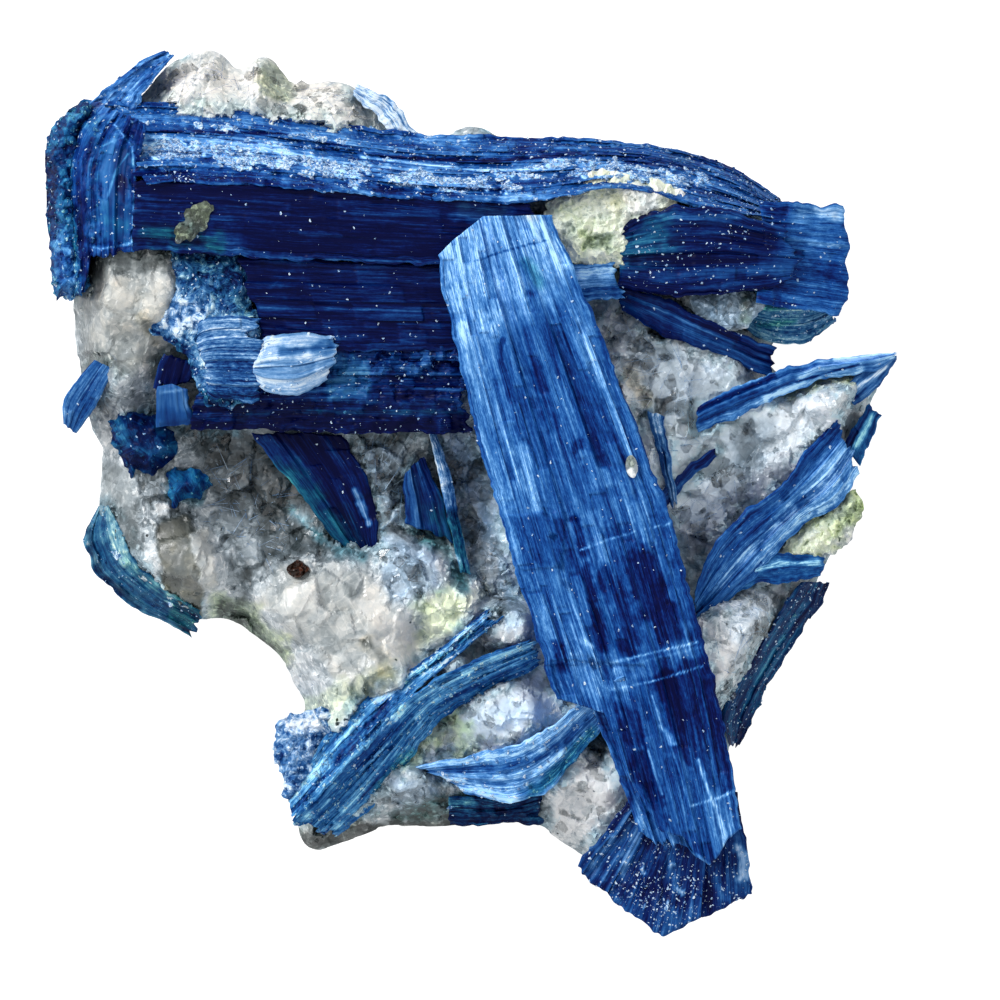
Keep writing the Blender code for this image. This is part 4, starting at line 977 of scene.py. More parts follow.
blade("rim_blade", "kyanite_deep", "80.6,58.2 78.2,61.6 75.6,65.8 73.4,69.4 72.4,72 73,74.4",
      "82.9,58.4 82.2,60.8 79.4,64 77.4,67.8 75.4,71.6 73.9,74.9", top="21,16.4 21.4,16.4 21,16.6",
      floor=9.5, laths=3, step=0.6, ragged=0.3, tone=0.33, flecks=1.4, grit=0.15, frost=0.35, teal=0.5,
      crumbly=0.15, strokes="""
0.3 0.3 tone=0.56: 80.6,60.4 77.4,65.4 74.4,71
0.25 0.2 tone=0.56: 81.4,61 78.4,65.4 75.4,70.4
0.4 0.4 tone=0.5: 79.4,60.6 76.4,65.6
""")
blade("small_needle", "kyanite_deep", "65.8,49.9 71.4,44.5", "66.3,50.6 71.9,45.1", top="26.2,26 24.8,24.6",
      floor=20, laths=1, step=0, tone=0.34, frost=0.3, strokes="""
0.25 0.2 tone=0.66: 66.2,50.2 71.6,45
0.3 0.2 tone=0.2: 69.6,46.8 71.6,45
""")
blade("side_splinter", "kyanite_pale", "64.7,41 67,50", "66.3,41.6 67.6,50.2", top="27.4,27 26.2,26",
      floor=20, laths=2, step=0.4, tone=0.56, frost=0.4, strokes="""
1 0.6 tone=0.8: 65.4,41 66,43
1.2 0.6 tone=0.5: 66.6,46 67.3,50
""")

# %% [markdown]
# ## Bundles along the lower edge
#
# Two bundles of dark blades fan out towards the lower left, with a curved blade across the gap
# between them and the great blade, and a fan of short laths ends the stone at its foot.

# %% Lower bundles
blade("curved_blade", "kyanite_royal", "41.6,76.9 48,75.5 52.4,74.6 56,72.2 59.4,69.2 62.4,67.6",
      "42.4,78 46.6,79.4 51.6,80.6 55.6,78.4 59,74 63,70.4", top="22.6,22 24.6,22.6 26.6,24 30.4,27.4",
      floor=16, laths=6, step=0.6, ragged=0.5, start="0,0 0.4,0.02 1,0.16", tone=0.76, frost=0.6,
      crumbly=0.25, grit=0.2, relief=0.06, strokes="""
0.5 0.4 tone=0.88: 47,75.9 53,74.8 58,71.4
0.6 0.4 tone=0.5: 44.6,77 50,77 55,75.4 59.6,71.6
1.2 0.7 tone=0.94 grit=0.8: 44,78.2 47.6,79 51,80
0.7 0.5 tone=0.96: 49,78 53,77.4 56.6,75
1.2 0.7 tone=0.52 teal=0.6 grit=0.6: 53,79.4 56.4,76.8 59,73.4
0.8 0.6 tone=0.82: 57.6,71.8 62,69
0.9 0.6 tone=0.56: 58,73.4 62.4,70
""")
blade("outer_bundle", "kyanite_royal", "29,82.4 32.8,78.6 37,74.2 41,69.8 45.4,67 53.4,63.9",
      "33.6,84 38.4,79.2 41,75.8 44,71.6 48.4,69.4 54.6,66.2", top="22.4,18 25,21 26.4,23 26.2,23.6",
      floor=12, laths=9, step=0.8, ragged=0.8, tone=0.62, frost=0.4, teal=0.2, chips=0.3, crumbly=0.25,
      grit=0.2, relief=0.06, flecks=0.8, strokes="""
1.8 0.8 tone=0.4 teal=0.1: 35.4,76.6 39,72.6
1.4 0.8 tone=0.5: 31,81.6 34.6,78
0.25 0.25 tone=0.9: 32,81 38,75.2 43,70.4 49,67
0.25 0.25 tone=0.86: 34,81.6 39.4,76 43.6,71.8
0.7 0.5 tone=0.8: 42,70 47,67.4 53,64.6
0.8 0.5 tone=0.5: 44,70.6 49,68 54,65.6
0.8 0.6 tone=0.98 grit=0.7: 37.4,73.2 40.6,70.6
1.2 0.8 tone=0.63 teal=0.6 grit=0.6: 38,78.8 41,75.6
1.8 0.8 tone=0.74 rough=0.9: 29.6,82 33,83.4
""")
blade("inner_bundle", "kyanite_royal", "28.9,79 31.2,75.6 35.2,71 38,69 44,65 49.2,60.6",
      "29,82.2 32.6,78.6 36.8,74.2 40.6,69.8 44.6,66.4 50,61.8",
      top="21.6,23 23.4,24.8 24.2,25.2 24.6,24.8", floor=12, laths=7, step=0.9, ragged=0.8, tone=0.6,
      frost=0.5, teal=0.2, chips=0.3, crumbly=0.4, grit=0.35, relief=0.07, flecks=0.6, strokes="""
1 0.5 tone=1 grit=0.9 teal=0 frost=0.8: 38,70 42.4,67.2 45,65 49.6,61.2
0.5 0.4 tone=0.88: 31,77.4 36,72.2
1 0.6 tone=0.42: 34,75.6 38.4,71
0.5 0.4 tone=0.4 teal=0.5: 40,68.8 45,65.2 49.4,61.6
1.6 0.8 tone=0.84 frost=0.7 grit=0.8: 29.4,79.4 32,76.4
""")
blade("shadow_blade", "kyanite_teal", "44.8,79.9 50,80.3 53.6,78.8", "45.2,82.6 49.6,82.4 54.4,82.4",
      top="20.6,18.6 20.4,18.4", floor=11, laths=3, step=0.6, tone=0.26, frost=0.2, teal=0.3,
      crumbly=0.5, strokes="""
1.4 1 crumbs=0.12: 45,81 50,81.4 54,80.6
0.5 0.4 tone=0.44 teal=0.3: 45,80.4 53,79.6
""")
blade("foot_blade", "kyanite_deep", "63.6,79.4 60.6,83.4 57.9,86.7", "73.6,79.4 74.4,84 75.2,89",
      top="25.4,26.8 23.4,24.6", floor=11, laths=9, step=0.7,
      end="0,1 0.16,1.18 0.313,1.37 0.44,1.5 0.52,1.62 0.557,1.68 0.6,1.58 0.757,1.34 0.88,1.17 1,1.02",
      tone=0.38, frost=0.3, chips=0.25, crumbly=0.12, fray=0.1, flecks=2, grit=0.03, strokes="""
1.6 0.8 tone=0.69: 61.4,84.2 59.4,87.4
0.9 0.6 tone=0.73: 64.8,81.6 62.4,87 62,90
0.7 0.5 tone=0.63: 63,82.6 60.6,87.8
1.8 1 tone=0.26: 65.6,82 65.6,88 65.4,92.6
2.6 1 tone=0.24: 68.6,85.6 70.6,89.8
1 0.6 tone=0.37: 61.4,87.4 62.6,89.6
0.5 0.4 tone=0.55: 66.6,84 67.6,90
0.6 0.4 tone=0.53: 71,87 72.6,90
0 0.5 tone=0.85 calm=0.6: 73.6,84.8 75.2,85.4 75.2,88.4 74,88.2
2 1.2 tone=0.2: 64,88 68,90
2.6 1.4 flecks=5 crumbs=0.12: 63,88 66,91 69,88
0 tone=0.98 calm=0.8 rise=0.35: 66.4,86.2 68.3,86.5 66.9,87
0.5 0.15 tone=0.96 rise=0.3: 67.8,89 68.4,89.5
0.4 0.15 tone=0.92 rise=0.3: 64.3,87.1 64.5,87.6
""")

# %% [markdown]
# ## Small blades in the quartz
#
# In the middle and on the left, short blades surface in the quartz, some clear deep blue, some pale
# or blue-green, and all broken off level with the grains around them.

# %% Small blades
# The near-black band across the centre blade's upper end, just under the front bar, is a painted shadow of
# that bar.
blade("centre_blade", "kyanite_deep", "25,42.9 29.8,49 33.4,54 35.4,55.4",
      "33.4,42.9 36,47 37.6,51.5 37.6,55.2", top="22.4,22 21.4,21.6 20,20.4", floor=12, laths=5,
      step=0.6, ragged=0.8, tone=0.16, frost=0.2, strokes="""
3.2 1.4 teal=0.9: 28.6,47.6 32,51.4 35,54.4
2 1.2 tone=0.38: 29,48.4 32.4,52.4 35,55
0.6 0.4 tone=0.9: 35.4,49 36.8,52.4
0.8 0.6 tone=0.3: 28,44 32,49
1.2 0.8 tone=0.05: 25.6,43.2 33,43.2
2 fibres=0.7: 33.6,54.2 36.4,55.4
""")
blade("short_blade", "kyanite_deep", "40.4,47.4 40.6,49.6 41,52.4", "42.4,46 43.8,49.4 45,54.2",
      top="22,21.8 20.6,20.4", floor=12, laths=3, step=0.5, tone=0.35, frost=0.2, strokes="""
0.8 0.6 tone=0.53: 41.6,47.6 43,52.6
1.6 1 teal=0.8: 43.4,50.6 44.4,53.6
""")
blade("pale_sliver", "kyanite_pale", "42.9,43.2 43.6,46 44.5,50 46.2,57.5",
      "43.4,43.2 44.5,46 45.4,50 46.9,57.4", top="22.4,22.2 21.4,21.2", floor=14, laths=1, step=0,
      tone=0.66, frost=0.5, relief=0.03, wobble=0.4, strokes="""
1.4 0.8 teal=0.8: 45,51.6 46.6,57.4
1.2 0.8 tone=0.36: 45,51 46.6,57.4
""")
blade("left_stub", "kyanite_royal", "9.3,36.2 6.3,39.9 6.2,42.4", "11.1,37 9,40.8 7.4,43.1",
      top="24,24 21.4,21", floor=14, laths=2, step=0.3, relief=0.03, wobble=0.4, fray=0.1, tone=0.56,
      frost=0.5, strokes="""
0 0.2 warm=0.25: 6,36 12,36 12,44 6,44
""")
blade("block_blade", "kyanite_deep", "15.9,39 15.7,42.6", "18.4,38.8 19,42.2", top="25.4,25.8 23.8,24.2",
      floor=16, laths=1, step=0, tone=0.46, frost=0, fray=0.05, flecks=0, start="0,-0.04 0.5,-0.1 1,0.1",
      strokes="""
0 0.2 calm=0.9: 15,38 20,38 20,43 15,43
0.25 0.2 tone=0.7: 15.9,39.2 18.2,39 18.9,42
1 0.6 tone=0.34: 16.2,41.6 18.4,41.8
""")
blade("dark_nub", "kyanite_deep", "16.4,35.4 15.7,38.3", "19.6,36.4 18.8,38.1", top="25.2,25.4 24.6,24.8",
      floor=17, laths=2, step=0.4, tone=0.1, frost=0.1)
blade("left_rim_blade", "kyanite_teal", "9.4,50.8 8,53.6 9.4,57.6 13.6,61 18.8,63.6",
      "10.6,50.8 12,53.6 13,56.4 16,59 20,61.4", top="13,17.6 12.8,18 12.6,17", floor=8, laths=5,
      step=0.6, tone=0.5, frost=0.4, teal=0.2, crumbly=0.35, grit=0.2, relief=0.05, strokes="""
1 0.8 crumbs=0.5: 11.4,55.6 14,58.6 17,60.6
0 0.4 calm=0.5 warm=0.15: 7,50 21,50 21,65 7,65
0.6 0.4 warm=0.7 tone=0.26: 8.4,52.6 8.6,55 9.8,57.6 13.4,60.8
0.9 0.6 tone=0.76 warm=0.15: 10.6,51 11.4,55 12.8,57
1 0.8 tone=0.72 teal=0.4 calm=0.5: 12.4,56.2 14.6,58.4 16.8,60
0 0.6 tone=0.39 teal=0.9: 17.4,59.6 20,61.4 18.6,63.8 16.4,62
""")
print(len(made), "blades,", sum(len(piece.data.vertices) for piece in made), "points")

# %% [markdown]
# ## Quartz
#
# Quartz grew around the blades in one mass of small glassy grains. Each grain broke along its own
# flat or curved face, so the surface is a patchwork of facets in slightly different greys, with the
# light caught along their edges. The material gives the facets their own tone and tilt, draws dark
# lines where grains meet, and paints highlights along some edges and glints on a few small grains.

# %% The quartz materials
GREYS = [
    (0.00, (0.024, 0.034, 0.038)),
    (0.25, (0.120, 0.150, 0.170)),
    (0.50, (0.320, 0.375, 0.415)),
    (0.75, (0.620, 0.670, 0.700)),
    (1.00, (0.900, 0.915, 0.920)),
]
STAINS = {"Warm": (1.0, 0.84, 0.64, 1.0), "Green": (0.80, 0.92, 0.42, 1.0), "Blue": (0.34, 0.74, 1.15, 1.0)}
MIDDLE = (0.5, 0.5, 0.5)


def quartz_group():
    group, given, out = new_group(
        "Quartz surface",
        [("Place", VECTOR, None), ("Tone", FLOAT, 0.6), ("Warm", FLOAT, 0.0), ("Green", FLOAT, 0.0),
         ("Blue", FLOAT, 0.0), ("Calm", FLOAT, 0.0)],
        [("Color", COLOUR), ("Height", FLOAT), ("Roughness", FLOAT), ("Normal", VECTOR)],
    )
    place = given["Place"]
    wavy = {"Vector": place, "Scale": 900.0, "Detail": 1.0}
    wavy = link_from(group, "ShaderNodeTexNoise", wavy).outputs[1]
    bent = {0: 0.00005, 4: place, 5: wavy}
    bent = link_from(group, "ShaderNodeMix", bent, data_type="VECTOR").outputs[1]
    broken = minus(group, 1.0, times(group, given["Calm"], 0.85))

    def cells(scale, feature="F1"):
        values = {"Vector": bent, "Scale": scale}
        return link_from(group, "ShaderNodeTexVoronoi", values, feature=feature).outputs

    def own(found):
        return link_from(group, "ShaderNodeSeparateColor", {0: found["Color"]}).outputs

    large, middle, small = cells(330.0), cells(900.0), cells(2600.0)
    seam = cells(900.0, "DISTANCE_TO_EDGE")[0]
    own_large, own_middle, own_small = own(large), own(middle), own(small)
    cloud = noise_of(group, place, 420.0, 4.0, 0.6)
    fine = noise_of(group, place, 3000.0, 4.0, 0.75)
    turned = vectors(group, "NORMALIZE", vectors(group, "SUBTRACT", large["Color"], MIDDLE))
    onwards = vectors(group, "DOT_PRODUCT", place, turned)
    lines = link_from(group, "ShaderNodeCombineXYZ", {0: onwards, 1: own_large[1]}).outputs[0]
    lines = noise_of(group, lines, 4200.0, 3.0, 0.7)
    tone = given["Tone"]
    for part in (swing(group, lines, 0.40), times(group, remap(group, lines, 0.62, 0.67), 0.16),
                 swing(group, own_large[0], 0.20), swing(group, own_middle[0], 0.24),
                 swing(group, own_small[0], 0.14), swing(group, fine, 0.30)):
        tone = add(group, tone, times(group, part, broken))
    tone = add(group, tone, swing(group, cloud, 0.30))
    # Painted highlights along some grain edges and painted glints on a few small grains; the dark lines are
    # the joints between grains.
    painted_edge_highlight = times(group, remap(group, seam, 0.01, 0.05, 1.0, 0.0), remap(group, own_middle[2], 0.6, 0.8))
    dark = times(group, remap(group, seam, 0.01, 0.04, 1.0, 0.0), remap(group, own_middle[2], 0.4, 0.2))
    painted_glint = remap(group, own_small[2], 0.90, 0.93)
    for part, amount in ((painted_edge_highlight, 0.20), (dark, -0.12), (painted_glint, 0.25)):
        tone = add(group, tone, times(group, part, amount, broken))
    specks = link_from(group, "ShaderNodeTexVoronoi", {"Vector": place, "Scale": 300.0}).outputs["Distance"]
    specks = times(group, remap(group, specks, 0.028, 0.05, 1.0, 0.0), 0.8)
    colour = colour_ramp(group, maths(group, "SUBTRACT", tone, specks, clamp=True), GREYS)
    for stain, tint in STAINS.items():
        patchy = remap(group, cloud, 0.3, 0.7, 0.55, 1.25)
        patchy = maths(group, "MULTIPLY", given[stain], patchy, clamp=True)
        colour = blend(group, patchy, colour, blend(group, 1.0, colour, tint, "MULTIPLY"))
    group.links.new(colour, out["Color"])
    group.links.new(fine, out["Height"])
    group.links.new(times(group, own_middle[1], 0.35), out["Roughness"])
    facing = link_from(group, "ShaderNodeNewGeometry").outputs["Normal"]
    for found, amount in ((large, 0.30), (middle, 0.26), (small, 0.16)):
        turn = vectors(group, "SUBTRACT", found["Color"], MIDDLE)
        turn = vectors(group, "MULTIPLY", turn, times(group, broken, amount))
        facing = vectors(group, "ADD", facing, turn)
    group.links.new(vectors(group, "NORMALIZE", facing), out["Normal"])
    return group


quartz_surface = quartz_group()


def quartz_material(name, colour, rough, bump, tint=(1.0, 1.0, 1.0)):
    material, tree, shader = new_material(name, colour)
    layers = {"Tone": "tone", "Warm": "warm", "Green": "teal", "Blue": "frost", "Calm": "calm"}
    surface = link_from(tree, "ShaderNodeGroup", {
        "Place": link_from(tree, "ShaderNodeTexCoord").outputs["Object"],
        **{label: attribute(tree, layer) for label, layer in layers.items()},
    }, node_tree=quartz_surface).outputs
    tint = blend(tree, 1.0, surface["Color"], (*tint, 1.0), "MULTIPLY")
    tree.links.new(tint, shader.inputs["Base Color"])
    relief = {"Strength": 0.7, "Distance": bump * MM, "Normal": surface["Normal"]}
    dress(tree, shader, surface, rough, relief)
    shader.inputs["IOR"].default_value = 1.54
    return material


# Base colour, roughness, relief in millimetres and tint.
QUARTZ = {
    "quartz": quartz_material("quartz_grains", (0.56, 0.56, 0.55), 0.16, 0.04),
    "green_quartz": quartz_material("green_quartz_crust", (0.38, 0.46, 0.27), 0.40, 0.09),
    "garnet": quartz_material("garnet_grain_red", (0.09, 0.018, 0.008), 0.25, 0.04, (0.75, 0.20, 0.10)),
}
FINISHES = {**KYANITE, **QUARTZ}

# %% [markdown]
# Single grains are clear. Those are see-through, with the refraction of quartz and a trace of grey
# that deepens with their thickness.

# %% Clear quartz
CLEAR, clear_tree, clear_shader = new_material("clear_quartz", (0.56, 0.56, 0.55))
cloudy = link_from(clear_tree, "ShaderNodeTexCoord").outputs["Object"]
cloudy = noise_of(clear_tree, cloudy, 900.0, 3.0, 0.6)
clear_tint = blend(clear_tree, cloudy, (0.82, 0.86, 0.88, 1.0), (1.0, 1.0, 1.0, 1.0))
clear_tree.links.new(clear_tint, clear_shader.inputs["Base Color"])
clear_tree.links.new(remap(clear_tree, cloudy, 0.3, 0.7, 0.02, 0.22), clear_shader.inputs["Roughness"])
clear_shader.inputs["Transmission Weight"].default_value = 1.0
clear_shader.inputs["IOR"].default_value = 1.54
smoke = {"Color": (0.80, 0.84, 0.86, 1.0), "Density": 120.0}
smoke = link_from(clear_tree, "ShaderNodeVolumeAbsorption", smoke).outputs[0]
clear_tree.links.new(smoke, clear_tree.nodes["Material Output"].inputs["Volume"])

# %% [markdown]
# ## The form of the quartz
#
# The quartz stands at about the same height everywhere between the blades, with soft rises and
# hollows and a rim that falls away. Over that the grains are laid at three sizes, from pieces as
# large as a lentil to a coarse sand.

# %% Outline, rises and hollows
MATRIX_OUTLINE = pairs("""
10.8,10.6 13.4,9.6 16.2,6.2 18.2,5 20,4 22.2,5 23.6,6.8 24.6,6.2 25.6,4.9 27,5.2 28.6,7.5 30,8
33,7.5 35.4,8.2 38,11.4 40,13.4 44.6,13.3 46.2,12.1 48.4,12.4 51,14 60,15.2 68,16.2 74,19 79,22
82,24 82.6,27 81.6,31.2 79.4,32.6 77.4,34.4 77.2,36.8 79.2,37.4 82,36.5 85.4,35.95 88,36 88.3,38
88,39.4 87.4,40.4 86.6,43 85.4,46 84.8,49.4 85.6,51.6 84,54.4 82.4,57.6 81.4,60.2 79,63.4 76.4,67.6
74.4,71.8 73,75 73.2,79 73.8,83 73.4,87 70,89.6 66.8,91.6 63.6,89.8 60.4,87.2 57.4,85.4 54.4,83.2
51.6,81.8 49.2,81.8 46.2,83 38.4,83 35,84.4 31.6,85.6 29.8,84.6 29.2,80.6 28.4,76.6 29,73 30.6,70.8
29.4,69.2 28,66 26,64.2 24,62.8 22.4,61.9 20.4,62.2 18.6,62 15,60 11.8,57.6 9.8,54.6 9.4,51 9.8,44.2
8.8,43.4 8,40 7.4,36 6.9,32.8 6.8,30 7.6,27 6.8,22 6.4,16 8,12.4
""")

# Centre x, centre y, radius and height at the centre of each rise or hollow.
QUARTZ_FORMS = pairs("""
19.5,9,7.5,21.5 27,9.5,5.5,20.5 34,12,6,20 40,22,30,21 12.5,28.6,9.5,27.5 11.5,36,5,25
12.5,51,6,20.5 17.5,56.5,5,21.5 20.2,56.5,2.6,22.5 25,48,9,17 46,50,7,17.5 33,62.5,9.5,23.5
40.5,58.5,6,23 68,42,15,24.5 64,40,7,26 80,42,8,23.5 83.5,38.6,5,26.5 65.4,45,5,25.4 73,65.5,8,27
50.5,71.5,5.5,23.6 50.8,62.8,3.6,24.4 38.4,67.6,4,24.2 41.5,79,3.2,21.5 45.2,61,4.5,22.5
45.2,66.9,2.6,24.6 33.6,71,4,23.4 59.5,77,6,22.5 57.5,82,4,20
""")
FIELD_HEIGHT, RIM_HEIGHT, RIM_RUN, RIM_STEP, FORM_SLOPE = 20.0, 13.5, 4.0, 0.25, 0.6
BACK_LIFT, BACK_RUN = 6.5, 8.0
# Size and height in millimetres, share of the tone and crispness of each kind of grain.
GRAIN_SIZES = ((2.8, 0.70, 0.11, 60.0), (1.3, 0.32, 0.10, 40.0), (0.6, 0.09, 0.06, 20.0))


def quartz_height(xy, rim_depth):
    height = np.full(len(xy), FIELD_HEIGHT)
    for cx, cy, radius, level in QUARTZ_FORMS:
        away = np.hypot(xy[:, 0] - cx, xy[:, 1] - cy) / radius
        height += (level - height) * smooth_step((1.0 - away) / FORM_SLOPE)
    rise = smooth_step(RIM_STEP + (1.0 - RIM_STEP) * rim_depth / RIM_RUN)
    return RIM_HEIGHT + (height - RIM_HEIGHT) * rise


def grain_relief(seed, a, b, smooth):
    """Three sizes of broken grains: (height in millimetres, a tone for each grain)."""
    bend = 0.05 * noise(seed + 20, a / 1.6, b / 1.6), 0.05 * noise(seed + 21, a / 1.6, b / 1.6)
    relief, tone = 0.0, 0.0
    for size, high, tint, crisp in GRAIN_SIZES:
        x, y = (a + bend[0]) / size, (b + bend[1]) / size
        number, height, _ = grains(seed + round(size * 10), x, y, 1.2, crisp)
        relief = relief + high * height
        tone = tone + tint * (number - 0.5) * 2.0
    own, slab, _ = grains(seed + 60, a / 3.6, b / 3.6, 1.3, 50.0)
    tone = tone * (1.0 - 0.6 * smooth) + 0.24 * (own - 0.5) * smooth
    return relief * (1.0 - smooth) + 1.2 * slab * smooth, tone


# %% [markdown]
# The mesh of the quartz is fine only where it shows. Under the blades it drops out of the way and
# its points stand far apart. A coarse map of the blades' own heights tells it where.

# %% Where the blades lie over the quartz
CELL = 0.4  # millimetres
ROOM = 240  # cells along each side of the sheet


def blade_map():
    """The lowest height of a blade's top in each cell of the sheet, endless where there is none."""
    lowest = np.full((ROOM, ROOM), np.inf)
    for piece, many in surfaces:
        places = np.empty(len(piece.data.vertices) * 3, np.float32)
        piece.data.vertices.foreach_get("co", places)
        x, y, z = (places.reshape(-1, 3)[:many] / MM).T
        i = ((x + SHEET_CENTRE[0]) / CELL).astype(int)
        j = ((SHEET_CENTRE[1] - y) / CELL).astype(int)
        highest = np.full((ROOM, ROOM), -np.inf)
        np.maximum.at(highest, (i, j), z)
        lowest = np.minimum(lowest, np.where(highest > 0.0, highest, np.inf))
    return lowest


def cells_of(xy):
    return tuple((xy / CELL).astype(int).T)


def widen(mask, steps):
    for _ in range(steps):
        grown = mask.copy()
        grown[1:] |= mask[:-1]
        grown[:-1] |= mask[1:]
        grown[:, 1:] |= mask[:, :-1]
        grown[:, :-1] |= mask[:, 1:]
        mask = grown
    return mask


blades_over = blade_map()
covered = np.isfinite(blades_over)
hidden = ~widen(~covered, 3)
print("share of the sheet under blades", round(float(covered.mean()), 3))
